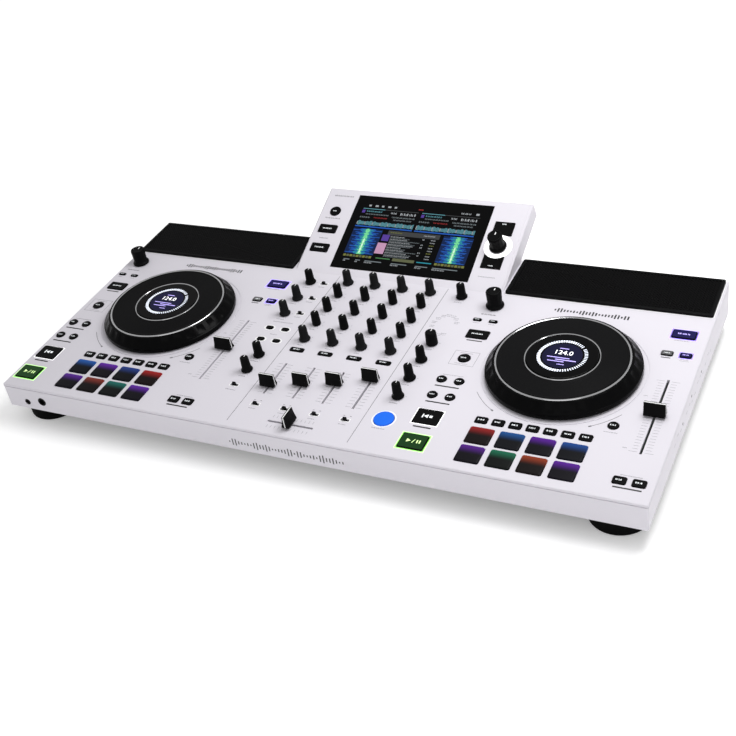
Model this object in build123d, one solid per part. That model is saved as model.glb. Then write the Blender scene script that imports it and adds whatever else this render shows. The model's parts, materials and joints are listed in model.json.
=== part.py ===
from build123d import *
from math import atan2, cos, degrees, radians, sin, tan
import os

# A four-channel, two-deck DJ controller. Millimetres, +Z up, +Y towards the rear, +X to the
# player's right. The case is drawn in a case frame (x from the middle, y from the front wall,
# z from the underside of the case); save() then moves each piece to the part's own frame,
# whose origin is the middle of the footprint on the surface that the feet stand on.

# case
case_width = 700.0
case_depth = 336.0
front_height = 29.2
rear_height = 39.8
case_corner = 1.8
skin = 3.0  # thickness of the top panel and the walls
base_thickness = 2.0
foot_height = 18.0
foot_radius = 28.7
foot_roll = 2.5  # radius of the lower edge
foot_x = 316.5
foot_rows = (33.0, 303.0)
panel_tilt = degrees(atan2(rear_height - front_height, case_depth))

# display housing, a wedge that rises from the panel and overhangs the rear wall
display_front = 268.0
display_half_width = 127.5
display_length = 124.0
display_thickness = 21.5
display_tilt = 22.86
display_skin = 2.5
glass_size = (169.7, 105.2)
glass_middle = 62.8  # up the sloping face from its front edge
glass_thickness = 1.2

# decks
deck_x = (-229.4, 229.4)
deck_y = 156.9
jog_radius = 75.7
jog_top_radius = 65.4
jog_height = 17.3
jog_seat = 3.2  # depth of the recess that holds the touch plate
jog_gap = 1.2  # under the rim, above the panel
hub_radius = 30.0
hub_top = 13.9
running_gap = 0.05  # radial, for a shaft in its bearing
pitch_x = 98.7
pitch_y = -44.45
pitch_travel = 100.0
pitch_cap = (20.0, 9.0, 15.0)
fader_travel = 45.0
fader_cap = (17.0, 8.0, 15.5)
cap_ridge = 3.0  # width of the flat along the top of a cap
cap_gap = 2.0  # under a cap, above the panel
stem = (1.4, 4.6)  # across and along the slot
stem_length = 13.0
slot_width = 2.4
slot_spare = 0.8  # longer than the stem and the travel together

# mixer
channel_x = (-50.25, -16.75, 16.75, 50.25)
channel_fader_y = 79.65
channel_fader_rest = (66.3, 75.5, 84.0, 98.5)
crossfader_y = 18.0
knob_rows = {"gain": 254.3, "high": 229.0, "mid": 202.0, "low": 175.0, "filter": 146.7}
equaliser_rows = ("high", "mid", "low")  # these have the narrow knob without a skirt
level_knobs = [
    (-95.0, 247.5), (-95.0, 215.0), (-95.0, 185.0), (-86.5, 110.5), (-86.5, 84.7),
    (87.0, 254.0), (87.0, 141.0), (87.0, 111.0), (87.0, 82.0),
]
effect_selector = (87.0, 169.5)
deck_encoder = (-101.4, 88.5)  # from the jog's centre
display_encoder = (105.0, 60.7)  # on the sloping face

# knobs: base radius, skirt height (0 for none), body radius at the foot and top, height
knob_gap = 0.8
knob_shapes = {
    "skirted": (6.0, 2.2, 4.7, 4.1, 17.5),
    "plain": (4.8, 0.0, 4.8, 4.3, 16.0),
    "selector": (6.2, 0.0, 6.2, 5.6, 15.5),
    "encoder": (9.7, 3.0, 8.9, 8.4, 20.0),
}
shaft_radius = 3.0
shaft_depth = 12.0  # below the panel's top face
shaft_hole = 3.7

# buttons, as (x, y, width, depth), with no depth for a round one
button_gap = 0.5
button_depth = 6.0
flange_width = 1.0
button_rise = 1.2
pad_rise = 1.6
pad_size = (23.0, 21.5)
pad_pitch = 29.15
pad_rows = (-109.6, -135.0)
mode_pitch = 16.54

# under the panel
board_drop = 14.4  # top of the control boards below the panel's top face
board_thickness = 1.6
fader_body_height = 10.0
switch_top = 7.5
post_radius = 3.5
screw_radius = 1.5
screw_length = 14.0
post_places = [
    (side * x, y) for side in (-1, 1)
    for x, y in ((338.0, 7.5), (70.0, 7.5), (341.5, 172.0), (124.0, 328.5), (338.0, 328.5))
]

# speakers and sockets
grille_inner, grille_outer, grille_front, grille_rear = 130.5, 347.0, 269.5, 334.5
grille_height = 3.0
speaker_places = [(x, 296.0) for x in (-290.0, -190.0, 190.0, 290.0)]
speaker_radius = 22.0
socket_depth = 14.0
socket_z = 19.0
jack_bore = 3.25
mini_bore = 1.85
headphone_jack = (-301.0, 13.3)
mini_jack = (-322.0, 9.7)
rear_jacks = (-105.0, -80.0, 70.0, 95.0)
phono_sockets = (-22.0, -6.0, 18.0, 34.0)
box_sockets = [  # x, body width and height, opening width and height
    (290.0, 28.0, 22.0, 24.0, 16.0), (240.0, 13.0, 12.0, 8.6, 7.8),
    (212.0, 15.0, 8.0, 12.6, 5.2), (190.0, 15.0, 8.0, 12.6, 5.2),
]

panel_place = Pos(0, 0, front_height) * Rot(panel_tilt, 0, 0)
face_rise = display_tilt - panel_tilt
face_place = panel_place * Pos(0, display_front, 0) * Rot(face_rise, 0, 0)
display_rear = (display_front * cos(radians(panel_tilt)) + display_length * cos(radians(display_tilt))
                + display_thickness * sin(radians(display_tilt)))
to_frame = Pos(0, -display_rear / 2, foot_height)


def mode_buttons():
    return [(-51.3 + mode_pitch * i, -88.3, 11.7, 8.5) for i in range(7)]


def pads():
    return [(-45.6 + pad_pitch * i, y, *pad_size) for y in pad_rows for i in range(4)]


def deck_buttons():
    """Every button of one deck but its pads, measured from the jog's centre."""
    load_and_loop = [(-111.5, 61.8, 9.0, 4.2), (-93.9, 61.6, 9.0, 4.2), (-101.9, 37.2, 23.0, 13.5)]
    round_ones = [(-101.2, -3.2, 12.6, None), (66.8, -66.6, 10.0, None)]
    round_four = [(x, y, 10.0, None) for x in (-110.9, -92.5) for y in (-39.4, -64.0)]
    transport = [(-102.4, -96.2, 25.4, 20.3), (-102.3, -132.1, 26.0, 20.0)]
    pitch_side = [(90.1, -133.4, 11.7, 8.9), (107.1, -133.4, 11.7, 8.9), (97.0, 79.9, 23.0, 13.0),
                  (87.9, 47.4, 11.0, 7.0), (105.7, 47.4, 11.0, 7.0)]
    return load_and_loop + round_ones + round_four + transport + pitch_side + mode_buttons()


def mixer_buttons():
    cues = [(x, 128.2, 16.0, 6.0) for x in channel_x]
    ovals = [(x, y, 8.0, 5.0) for x in (-99.9, -80.7) for y in (158.2, 137.6)]
    return cues + ovals + [(87.0, 48.0, 20.0, None)]


def slide_switches():
    assign = [(x, 37.5) for x in channel_x]
    return assign + [(-88.0, 60.1), (-78.5, 248.0), (-78.5, 218.0), (-78.5, 189.0)]


def face_buttons():
    """The display face's plain buttons; the two beside the encoder have a round bite."""
    return [(-107.8, 88.7, 13.0, None), (-107.9, 62.6, 23.0, 11.5), (-107.9, 35.0, 23.0, 11.5)]


def at_deck(centre, places):
    return [(centre + x, deck_y + y, *size) for x, y, *size in places]


def outline(width, depth):
    if depth is None:
        return Circle(width / 2)
    return RectangleRounded(width, depth, min(1.6, depth / 3))


def bitten_outlines(spare=0.0):
    """The blocks above and below the display encoder, cut round its light ring."""
    x, y = display_encoder
    bite = Pos(x, y) * Circle(16.4 - spare)
    blocks = [(104.1, 85.2, 22.6, 17.6), (104.3, 39.8, 22.6, 17.4)]
    return [Pos(bx, by) * Rectangle(w + 2 * spare, d + 2 * spare) - bite for bx, by, w, d in blocks]


def button(x, y, width, depth, rise=button_rise):
    """A cap that stands in its hole, with a flange under the panel that keeps it in."""
    flat = outline(width, depth)
    cap = extrude(Pos(0, 0, -button_depth) * flat, button_depth + rise)
    cap = fillet(cap.faces().sort_by(Axis.Z)[-1].edges(), 0.5)
    flange = extrude(Pos(0, 0, -button_depth) * offset(flat, flange_width), button_depth - skin - 0.4)
    return Pos(x, y, 0) * (cap + flange)


def button_hole(x, y, width, depth):
    hole = offset(outline(width, depth), button_gap)
    return extrude(Pos(x, y, -2 * skin) * hole, 3 * skin)


def slot(x, y, travel, along_x=False):
    length = travel + stem[1] + slot_spare
    size = (length, slot_width) if along_x else (slot_width, length)
    return Pos(x, y, -skin) * Box(*size, 4 * skin)


def every_fader():
    """Slot middle, travel and direction of each fader on the panel."""
    pitch = [(x + pitch_x, deck_y + pitch_y, pitch_travel, False) for x in deck_x]
    channels = [(x, channel_fader_y, fader_travel, False) for x in channel_x]
    return pitch + channels + [(0.0, crossfader_y, fader_travel, True)]


def every_shaft():
    """Each knob's shaft on the panel."""
    mixer = [(x, y) for y in knob_rows.values() for x in channel_x]
    encoders = [(x + deck_encoder[0], deck_y + deck_encoder[1]) for x in deck_x]
    return mixer + level_knobs + [effect_selector] + encoders


def case_outline(inset, height):
    flat = RectangleRounded(case_width - 2 * inset, case_depth - 2 * inset, case_corner - inset / 2)
    return Pos(0, case_depth / 2, 0) * extrude(flat, height)


def tilted_slab(low, high):
    """Everything between two heights above or below the panel's top face."""
    size = 2 * case_width
    return panel_place * Pos(0, case_depth / 2, (low + high) / 2) * Box(size, size, high - low)


def post(x, y):
    """A screw post from the panel's underside down to the base plate."""
    body = Pos(x, y, base_thickness + rear_height / 2) * Cylinder(post_radius, rear_height)
    body = body & tilted_slab(-2 * rear_height, -skin)
    bore = Pos(x, y, base_thickness + screw_length / 2) * Cylinder(screw_radius + running_gap, screw_length)
    return body - bore


def top_panel():
    panel = case_outline(0, 2 * rear_height) & tilted_slab(-skin, 0)
    panel = fillet(panel.faces().sort_by(Axis.Z)[-1].edges(), 1.2)
    holes = [button_hole(*place) for place in mixer_buttons()]
    for centre in deck_x:
        holes += [button_hole(*place) for place in at_deck(centre, deck_buttons() + pads())]
        holes.append(Pos(centre, deck_y, 0) * Cylinder(hub_radius + 0.6, 4 * skin))
        ring = Cylinder(jog_radius + 5, 1.0) - Cylinder(jog_radius + 3.6, 1.0)
        holes.append(Pos(centre, deck_y, 0) * ring)
    holes += [slot(*place) for place in every_fader()]
    holes += [Pos(x, y, 0) * Cylinder(shaft_hole, 4 * skin) for x, y in every_shaft()]
    holes += [Pos(x, y, 0) * Box(9.0, 3.2, 4 * skin) for x, y in slide_switches()]
    holes += [Pos(x, y, 0) * Cylinder(speaker_radius - 2, 4 * skin) for x, y in speaker_places]
    holes.append(Pos(0, 303.0, 0) * Box(236.0, 46.0, 4 * skin))
    return panel - [panel_place * hole for hole in holes]


def wall_holes():
    """Cut-outs in the front and rear walls, one for each socket."""
    def round_hole(x, y, z, radius):
        return Pos(x, y, z) * Rot(90, 0, 0) * Cylinder(radius, 4 * skin)

    holes = [round_hole(headphone_jack[0], 0, headphone_jack[1], 5.1),
             round_hole(mini_jack[0], 0, mini_jack[1], 3.6)]
    holes += [round_hole(x, case_depth, socket_z, 6.1) for x in rear_jacks]
    holes += [round_hole(x, case_depth, socket_z, 4.6) for x in phono_sockets]
    holes += [Pos(x, case_depth, socket_z) * Box(w + 0.4, 4 * skin, h + 0.4)
              for x, w, h, _, _ in box_sockets]
    return holes


def case_walls():
    """The front wall, the rear wall, and two side cheeks that run past their ends."""
    ring = case_outline(0, 2 * rear_height) - case_outline(skin, 2 * rear_height)
    walls = ring & tilted_slab(-100, -skin)
    walls = chamfer(walls.faces().sort_by(Axis.Z)[0].outer_wire().edges(), 0.8)
    middle = Pos(0, case_depth / 2, 0) * Box(case_width - 2 * skin, 2 * case_depth, 4 * rear_height)
    front, rear = ((walls & middle) - wall_holes()).solids().sort_by(Axis.Y)
    return front, rear, walls - middle


def base_plate():
    plate = case_outline(skin + 0.3, base_thickness)
    return plate - [Pos(x, y, 1) * Cylinder(screw_radius + 0.3, 4) for x, y in post_places]


def case_screw(x, y):
    head = Pos(x, y, -0.8) * Cylinder(3.0, 1.6)
    head = head - Pos(x, y, -1.6) * extrude(RegularPolygon(1.2, 6), 1.0)
    length = screw_length - 2
    return head + Pos(x, y, length / 2) * Cylinder(screw_radius, length)


def rubber_foot(x, y):
    """A deep round foot with a rolled lower edge and a recess for its own screw."""
    foot = Cylinder(foot_radius, foot_height)
    foot = fillet(foot.edges().sort_by(Axis.Z)[0], foot_roll)
    foot = foot - Pos(0, 0, -foot_height / 2) * Cylinder(6.0, 12.0)
    return Pos(x, y, -foot_height / 2) * foot


def speaker_grille(side):
    size = (grille_outer - grille_inner, grille_rear - grille_front)
    plate = extrude(RectangleRounded(*size, 2.0), grille_height)
    plate = fillet(plate.faces().sort_by(Axis.Z)[-1].edges(), 0.8)
    inside = extrude(RectangleRounded(size[0] - 2.4, size[1] - 2.4, 1.0), grille_height - 1.2)
    middle = (side * (grille_inner + grille_outer) / 2, (grille_front + grille_rear) / 2)
    return panel_place * Pos(*middle, 0) * (plate - inside)


def speaker_driver(x, y):
    """A small full-range driver: frame, cone with its dust cap, and magnet."""
    inner = speaker_radius - 4
    outer_line = Polyline((0, -20), (11, -20), (11, -12), (speaker_radius - 1, -4),
                          (speaker_radius, -4), (speaker_radius, 0), (inner, 0), (inner, -2),
                          (6, -8), (0, -6), close=True)
    return panel_place * Pos(x, y, -skin) * revolve(Plane.XZ * make_face(outer_line), Axis.Z)


def face_profile(points, half_width):
    """A prism across the display housing, drawn as (along the face, above the face)."""
    return extrude(Plane.YZ * make_face(Polyline(*points, close=True)), half_width, both=True)


def display_case():
    slope = tan(radians(face_rise))
    foot = display_thickness / slope
    case = face_profile([(0, 0), (display_length, 0), (display_length, -display_thickness),
                         (foot, -display_thickness)], display_half_width)
    rim = [edge for edge in case.faces().sort_by(Axis.Z)[-1].edges() if edge.center().Y > 1]
    case = chamfer(rim, 2.4)
    tip = display_skin / slope
    end = display_length - display_skin
    case = case - face_profile([(tip, -display_skin), (end, -display_skin), (end, -40), (tip, -40)],
                               display_half_width - display_skin)
    recess = Pos(0, glass_middle, 0) * Box(glass_size[0] + 0.4, glass_size[1] + 0.4, 2 * glass_thickness)
    window = Pos(0, glass_middle, 0) * Box(glass_size[0] - 10, glass_size[1] - 10, 12)
    holes = [recess, window]
    holes += [button_hole(*place) for place in face_buttons()]
    holes += [extrude(Pos(0, 0, -6) * flat, 9) for flat in bitten_outlines(button_gap)]
    holes.append(Pos(*display_encoder, 0) * Cylinder(shaft_hole, 12))
    return face_place * (case - holes)


def display_back():
    slope = tan(radians(face_rise))
    low, high = display_thickness, display_thickness - display_skin
    points = [(low / slope + 0.6, -low), (display_length - display_skin - 0.2, -low),
              (display_length - display_skin - 0.2, -high), (high / slope + 0.6, -high)]
    return face_place * face_profile(points, display_half_width - display_skin - 0.2)


def display_glass():
    glass = Pos(0, glass_middle, -glass_thickness / 2) * Box(*glass_size, glass_thickness)
    return face_place * glass


def display_module():
    return face_place * Pos(0, glass_middle, -5.2) * Box(164.0, 99.0, 5.2)


def control_board(x, y, width, depth, holes=()):
    board = Pos(x, y, -board_drop - board_thickness / 2) * Box(width, depth, board_thickness)
    gaps = [Pos(px, py, -board_drop) * Cylinder(post_radius + 1.5, 8) for px, py in post_places]
    return panel_place * (board - gaps - list(holes))


def circuit_boards():
    boards = [control_board(0, 138.0, 216.0, 252.0)]
    for centre in deck_x:
        gap = Pos(centre, deck_y, -board_drop) * Cylinder(hub_radius + 12, 8)
        notch = Pos((headphone_jack[0] + mini_jack[0]) / 2, 9.0, -board_drop) * Box(36.0, 20.0, 8)
        boards.append(control_board(centre - 4, 132.0, 225.0, 252.0, [gap, notch]))
    main_board = Pos(0, 252.0, base_thickness + 3.8) * Box(600.0, 146.0, board_thickness)
    display_board = face_place * Pos(0, 86.0, -11.2) * Box(120.0, 52.0, board_thickness)
    return boards + [main_board, display_board]


def potentiometer(x, y):
    """A board-mounted body with the bearing that the knob's shaft turns in."""
    top = 5.4
    height = board_drop - top
    body = Pos(x, y, -top - height / 2) * Box(11.0, 11.0, height)
    bore = Pos(x, y, -top - 3.6) * Cylinder(shaft_radius + running_gap, 7.2)
    return body - bore


def potentiometers():
    on_panel = [panel_place * potentiometer(x, y) for x, y in every_shaft()]
    return on_panel + [face_place * potentiometer(*display_encoder)]


def fader_unit(x, y, travel, along_x):
    """A slide potentiometer's case, open along its top for the stem."""
    length = travel + 17
    size = (length, 14.0) if along_x else (14.0, length)
    middle = -skin - 0.2 - fader_body_height / 2
    body = Pos(x, y, middle) * Box(*size, fader_body_height)
    return panel_place * (body - Pos(0, 0, -5.3) * slot(x, y, travel, along_x))


def key_switch(x, y):
    body = Pos(x, y, -board_drop + 2.0) * Box(6.2, 6.2, 4.0)
    plunger = extrude(Pos(x, y, -board_drop + 4.0) * Circle(1.7), board_drop - 4.0 - switch_top)
    return panel_place * (body + plunger)


def key_switches():
    places = mixer_buttons()
    for centre in deck_x:
        places += at_deck(centre, deck_buttons() + pads())
    return [key_switch(x, y) for x, y, _, _ in places]


def slide_switch(x, y):
    lever = Pos(x, y, -1.5) * Box(3.4, 2.2, 9.0)
    body = Pos(x, y, -8.4) * Box(10.0, 5.0, 5.0)
    return panel_place * (lever + body)


def jog_hub(x):
    """The fixed post that the jog wheel turns on, flanged under the panel."""
    section = Polyline((26, -6.2), (38, -6.2), (38, -skin), (hub_radius, -skin), (hub_radius, hub_top),
                       (26, hub_top), close=True)
    return panel_place * Pos(x, deck_y, 0) * revolve(Plane.XZ * make_face(section), Axis.Z)


def jog_display(x):
    disc = extrude(Pos(0, 0, hub_top) * Circle(34.5), 4.2)
    disc = fillet(disc.faces().sort_by(Axis.Z)[-1].edges(), 0.8)
    return panel_place * Pos(x, deck_y, 0) * disc


def jog_rim(x):
    """The rotor: a bearing sleeve on the hub, a web, and the flared outer rim."""
    bearing = hub_radius + running_gap
    seat, ledge = jog_top_radius - 1.5, jog_height - jog_seat
    section = Polyline((bearing, jog_gap), (jog_radius - 1.2, jog_gap), (jog_radius, jog_gap + 1.5),
                       (jog_radius - 0.6, 7.0), (jog_top_radius + 1.4, jog_height - 0.8),
                       (jog_top_radius, jog_height), (seat, jog_height), (seat, ledge),
                       (seat - 4.4, ledge), (seat - 4.4, 5.0), (34.0, 5.0), (34.0, hub_top - 0.6),
                       (bearing, hub_top - 0.6), close=True)
    return panel_place * Pos(x, deck_y, 0) * revolve(Plane.XZ * make_face(section), Axis.Z)


def jog_plate(x):
    """The touch plate, an annulus that sits in the rim round the fixed display."""
    ring = Circle(jog_top_radius - 1.7) - Circle(35.2)
    return panel_place * Pos(x, deck_y, jog_height - jog_seat) * extrude(ring, jog_seat - 0.2)


def fader(x, y, cap, along_x=False):
    """A cap with hollow slopes up to a ridge across it, on a flat stem through the slot."""
    width, depth, height = cap
    low, rise = cap_gap, cap_gap + 1.6
    foot, ridge = depth / 2, cap_ridge / 2
    hollow = (foot + ridge) / 2 - 0.6, (rise + height) / 2
    side = [Polyline((-foot, rise), (-foot, low), (foot, low), (foot, rise)),
            ThreePointArc((foot, rise), hollow, (ridge, height)),
            Line((ridge, height), (-ridge, height)),
            ThreePointArc((-ridge, height), (-hollow[0], hollow[1]), (-foot, rise))]
    body = extrude(Plane.YZ * make_face(side), width / 2, both=True)
    body = body + Pos(0, 0, cap_gap + 1 - stem_length / 2) * Box(*stem, stem_length)
    turn = Rot(0, 0, 90) if along_x else Rot(0, 0, 0)
    return panel_place * Pos(x, y, 0) * turn * body


def knob(shape, place):
    """A tapered knob with a pointer groove, moulded round its shaft."""
    base, skirt, foot, top, height = knob_shapes[shape]
    low = knob_gap
    points = [(0, low), (base, low), (base, low + skirt)] if skirt else [(0, low)]
    points += [(foot, low + skirt * 1.3), (top + 0.2, height - 1), (top - 0.6, height), (0, height)]
    body = revolve(Plane.XZ * make_face(Polyline(*points, close=True)), Axis.Z)
    body = body - Pos(0, top * 0.65, height) * Box(1.2, top * 0.7, 0.8)
    body = body + Pos(0, 0, (low + 2 - shaft_depth) / 2) * Cylinder(shaft_radius, shaft_depth + low + 2)
    return place * body


def panel_knob(shape, x, y):
    return knob(shape, panel_place * Pos(x, y, 0))


def display_buttons():
    caps = [button(*place) for place in face_buttons()]
    for flat in bitten_outlines():
        caps.append(extrude(Pos(0, 0, -4.0) * flat, 4.0 + button_rise))
    return [face_place * cap for cap in caps]


def bored_socket(x, y, z, radius, bore, facing):
    """A round-nosed jack socket. facing is -1 for the front wall and 1 for the rear."""
    body = Pos(x, y - facing * (skin + 0.2 + socket_depth / 2), z) * Box(13.0, socket_depth, 13.0)
    nose = Pos(x, y - facing * skin / 2, z) * Rot(90, 0, 0) * Cylinder(radius, skin + 0.8)
    hole = Pos(x, y - facing * socket_depth / 2, z) * Rot(90, 0, 0) * Cylinder(bore, socket_depth + 2)
    return body + nose - hole


def phono_socket(x):
    barrel = Pos(x, case_depth + 3.0, socket_z) * Rot(90, 0, 0) * Cylinder(4.2, 14.0)
    body = Pos(x, case_depth - skin - 4.2, socket_z) * Box(10.0, 8.0, 13.0)
    hole = Pos(x, case_depth + 6.0, socket_z) * Rot(90, 0, 0) * Cylinder(1.6, 10.0)
    return barrel + body - hole


def box_socket(x, width, height, mouth_width, mouth_height):
    body = Pos(x, case_depth - socket_depth / 2, socket_z) * Box(width, socket_depth, height)
    mouth = Pos(x, case_depth - 5.0, socket_z) * Box(mouth_width, 12.0, mouth_height)
    return body - mouth


def sockets():
    front = [bored_socket(headphone_jack[0], 0, headphone_jack[1], 4.9, jack_bore, -1),
             bored_socket(mini_jack[0], 0, mini_jack[1], 3.4, mini_bore, -1)]
    rear = [bored_socket(x, case_depth, socket_z, 5.9, jack_bore, 1) for x in rear_jacks]
    rear += [phono_socket(x) for x in phono_sockets]
    return front + rear + [box_socket(*place) for place in box_sockets[1:]]


def save(node, *pieces):
    solids = [to_frame * solid for piece in pieces for solid in piece.solids()]
    export_step(solids[0] if len(solids) == 1 else Compound(solids), f"parts/{node}.step")


def save_fixed():
    save("top_panel", top_panel())
    front, rear, cheeks = case_walls()
    save("front_wall", front)
    save("rear_wall", rear)
    save("side_walls", cheeks, *[post(x, y) for x, y in post_places])
    save("base_plate", base_plate())
    save("case_screws", *[case_screw(x, y) for x, y in post_places])
    save("rubber_feet", *[rubber_foot(side * foot_x, y) for side in (-1, 1) for y in foot_rows])
    save("speaker_grilles", speaker_grille(-1), speaker_grille(1))
    save("speaker_drivers", *[speaker_driver(x, y) for x, y in speaker_places])
    save("display_case", display_case(), display_back())
    save("display_glass", display_glass())
    save("display_module", display_module())
    save("circuit_boards", *circuit_boards())
    faders = [fader_unit(*place) for place in every_fader()]
    save("control_units", *potentiometers(), *faders, *key_switches())
    save("slide_switches", *[slide_switch(x, y) for x, y in slide_switches()])
    save("jog_hubs", *[jog_hub(x) for x in deck_x])
    save("jog_displays", *[jog_display(x) for x in deck_x])
    save("sockets", *sockets())
    save("mains_socket", box_socket(*box_sockets[0]))
    knobs = [panel_knob("skirted", x, y) for x, y in level_knobs]
    save("level_knobs", *knobs, panel_knob("selector", *effect_selector))


def save_deck(side, centre):
    place = [panel_place * button(*size, rise=pad_rise) for size in at_deck(centre, pads())]
    save(f"{side}_jog_rim", jog_rim(centre))
    save(f"{side}_jog_plate", jog_plate(centre))
    save(f"{side}_pitch_fader", fader(centre + pitch_x, deck_y + pitch_y, pitch_cap))
    save(f"{side}_encoder", panel_knob("encoder", centre + deck_encoder[0], deck_y + deck_encoder[1]))
    save(f"{side}_pads", *place)
    save(f"{side}_deck_buttons", *[panel_place * button(*size) for size in at_deck(centre, deck_buttons())])


def save_mixer():
    for number, (x, rest) in enumerate(zip(channel_x, channel_fader_rest), start=1):
        save(f"channel_fader_{number}", fader(x, rest, fader_cap))
        for row, y in knob_rows.items():
            shape = "plain" if row in equaliser_rows else "skirted"
            save(f"{row}_knob_{number}", panel_knob(shape, x, y))
    save("crossfader", fader(0.0, crossfader_y, fader_cap, along_x=True))
    save("mixer_buttons", *[panel_place * button(*place) for place in mixer_buttons()])


def main():
    os.makedirs("parts", exist_ok=True)
    save_fixed()
    for side, centre in zip(("left", "right"), deck_x):
        save_deck(side, centre)
    save_mixer()
    save("display_encoder", knob("encoder", face_place * Pos(*display_encoder, 0)))
    save("display_buttons", *display_buttons())


main()
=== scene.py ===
# DJ controller: the looks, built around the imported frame.
# Lengths in the settings are millimetres unless a note says otherwise.

import json
import math

import bpy
from mathutils import Matrix, Vector


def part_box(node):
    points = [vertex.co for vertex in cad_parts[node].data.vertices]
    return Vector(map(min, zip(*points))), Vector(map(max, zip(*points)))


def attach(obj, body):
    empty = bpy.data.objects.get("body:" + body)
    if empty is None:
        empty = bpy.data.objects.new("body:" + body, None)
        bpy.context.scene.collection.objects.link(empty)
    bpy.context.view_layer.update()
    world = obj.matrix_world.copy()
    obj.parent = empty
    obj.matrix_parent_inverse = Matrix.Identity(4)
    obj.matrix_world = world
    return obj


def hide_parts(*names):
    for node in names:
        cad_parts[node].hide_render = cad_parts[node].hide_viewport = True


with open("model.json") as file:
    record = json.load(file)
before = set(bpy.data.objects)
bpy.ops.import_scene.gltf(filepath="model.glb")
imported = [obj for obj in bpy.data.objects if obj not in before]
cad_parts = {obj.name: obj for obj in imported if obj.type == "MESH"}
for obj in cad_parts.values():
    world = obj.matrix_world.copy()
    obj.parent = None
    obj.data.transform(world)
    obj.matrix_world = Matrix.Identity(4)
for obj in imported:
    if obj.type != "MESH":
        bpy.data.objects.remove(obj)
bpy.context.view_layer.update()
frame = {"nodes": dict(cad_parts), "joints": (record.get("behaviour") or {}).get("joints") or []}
joints = {joint["name"]: joint for joint in frame["joints"]}
mm = 0.001
print("frame loaded:", len(frame["nodes"]), "nodes")


# places on the two sloping faces


def jointPlace(name):
    return Vector(joints[name]["pos_m"])


def tiltOf(direction):
    return math.atan2(-direction[1], direction[2])


panelTurn = Matrix.Rotation(tiltOf(joints["left_jog_spin"]["axis"]), 4, "X")
jogX = {side: jointPlace(side + "_jog_spin").x / mm for side in ("left", "right")}
jogLine = (jointPlace("left_jog_spin") + jointPlace("right_jog_spin")) / 2
jogY = (jogLine.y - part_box("top_panel")[0].y) / mm / math.cos(tiltOf(joints["left_jog_spin"]["axis"]))
panelPlace = Matrix.Translation(jogLine) @ panelTurn @ Matrix.Translation((0, -jogY * mm, 0))

glassLow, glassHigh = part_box("display_glass")
faceUp = Vector(joints["display_encoder_turn"]["axis"])
faceTurn = Matrix.Rotation(tiltOf(faceUp), 4, "X")
glassThickness = 1.2 * mm
# the middle of the glass, on its outer face
facePlace = Matrix.Translation((glassLow + glassHigh) / 2 + faceUp * glassThickness / 2) @ faceTurn

channelX = [jointPlace("gain_knob_" + str(number) + "_turn").x / mm for number in (1, 2, 3, 4)]


def rowY(name):
    return (panelPlace.inverted() @ jointPlace(name)).y / mm


# camera and studio

# places, sizes and reaches in metres, angles in degrees, lamp powers in watts
cameraView = {"place": (0.5234, -0.8796, 0.7094), "azimuth": 31.2, "elevation": 35.1, "roll": 10.41,
              "lens": 55.53, "sensor": 36}
studio = {"floor": 9.0, "world": 0.56, "glowReach": (0.35, 0.95), "glow": (0.2, 0.5),
          "key": ((0.34, 0.12, 0.8), 0.5, 6.0), "front": ((0.5, -1.2, 0.5), 1.2, 2.8)}


def makeCamera():
    bpy.ops.object.camera_add(location=cameraView["place"])
    camera = bpy.context.active_object
    camera.name = "camera"
    turn = Matrix.Rotation(math.radians(cameraView["azimuth"]), 4, "Z")
    tip = Matrix.Rotation(math.radians(90 - cameraView["elevation"]), 4, "X")
    roll = Matrix.Rotation(math.radians(-cameraView["roll"]), 4, "Z")
    camera.matrix_world = Matrix.Translation(cameraView["place"]) @ turn @ tip @ roll
    camera.data.lens = cameraView["lens"]
    camera.data.sensor_width = cameraView["sensor"]
    bpy.context.scene.camera = camera


def softBox(name, place, size, power):
    # a square area lamp that points at the middle of the object
    bpy.ops.object.light_add(type="AREA", location=place)
    lamp = bpy.context.active_object
    lamp.name = name
    lamp.data.size = size
    lamp.data.energy = power
    lamp.rotation_euler = (-Vector(place)).to_track_quat("-Z", "Y").to_euler()


def makeStudio():
    world = bpy.data.worlds.new("studioWorld")
    world.use_nodes = True
    world.node_tree.nodes["Background"].inputs["Color"].default_value = (1.0, 1.0, 1.0, 1)
    world.node_tree.nodes["Background"].inputs["Strength"].default_value = studio["world"]
    bpy.context.scene.world = world
    bpy.context.scene.view_settings.view_transform = "Standard"
    softBox("keyLight", *studio["key"])
    softBox("frontLight", *studio["front"])
    bpy.ops.mesh.primitive_plane_add(size=studio["floor"])
    floor = bpy.context.active_object
    floor.name = "floor"
    floor.data.materials.append(floorFinish())


# finishes


def startFinish(name):
    finish = bpy.data.materials.new(name)
    finish.use_nodes = True
    nodes, links = finish.node_tree.nodes, finish.node_tree.links
    place = nodes.new("ShaderNodeTexCoord").outputs["Object"]
    return finish, nodes, links, nodes["Principled BSDF"], place


def noiseAt(nodes, links, place, scale, detail=3.0):
    noise = nodes.new("ShaderNodeTexNoise")
    noise.inputs["Scale"].default_value = scale
    noise.inputs["Detail"].default_value = detail
    links.new(place, noise.inputs["Vector"])
    return noise.outputs["Fac"]


def spread(nodes, links, value, low, high):
    band = nodes.new("ShaderNodeMapRange")
    band.inputs["From Min"].default_value = 0.3
    band.inputs["From Max"].default_value = 0.7
    band.inputs["To Min"].default_value = low
    band.inputs["To Max"].default_value = high
    links.new(value, band.inputs["Value"])
    return band.outputs["Result"]


def blended(nodes, links, value, first, second):
    mix = nodes.new("ShaderNodeMix")
    mix.data_type = "RGBA"
    mix.inputs["A"].default_value = (*first, 1)
    mix.inputs["B"].default_value = (*second, 1)
    links.new(value, mix.inputs["Factor"])
    return mix.outputs["Result"]


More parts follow.
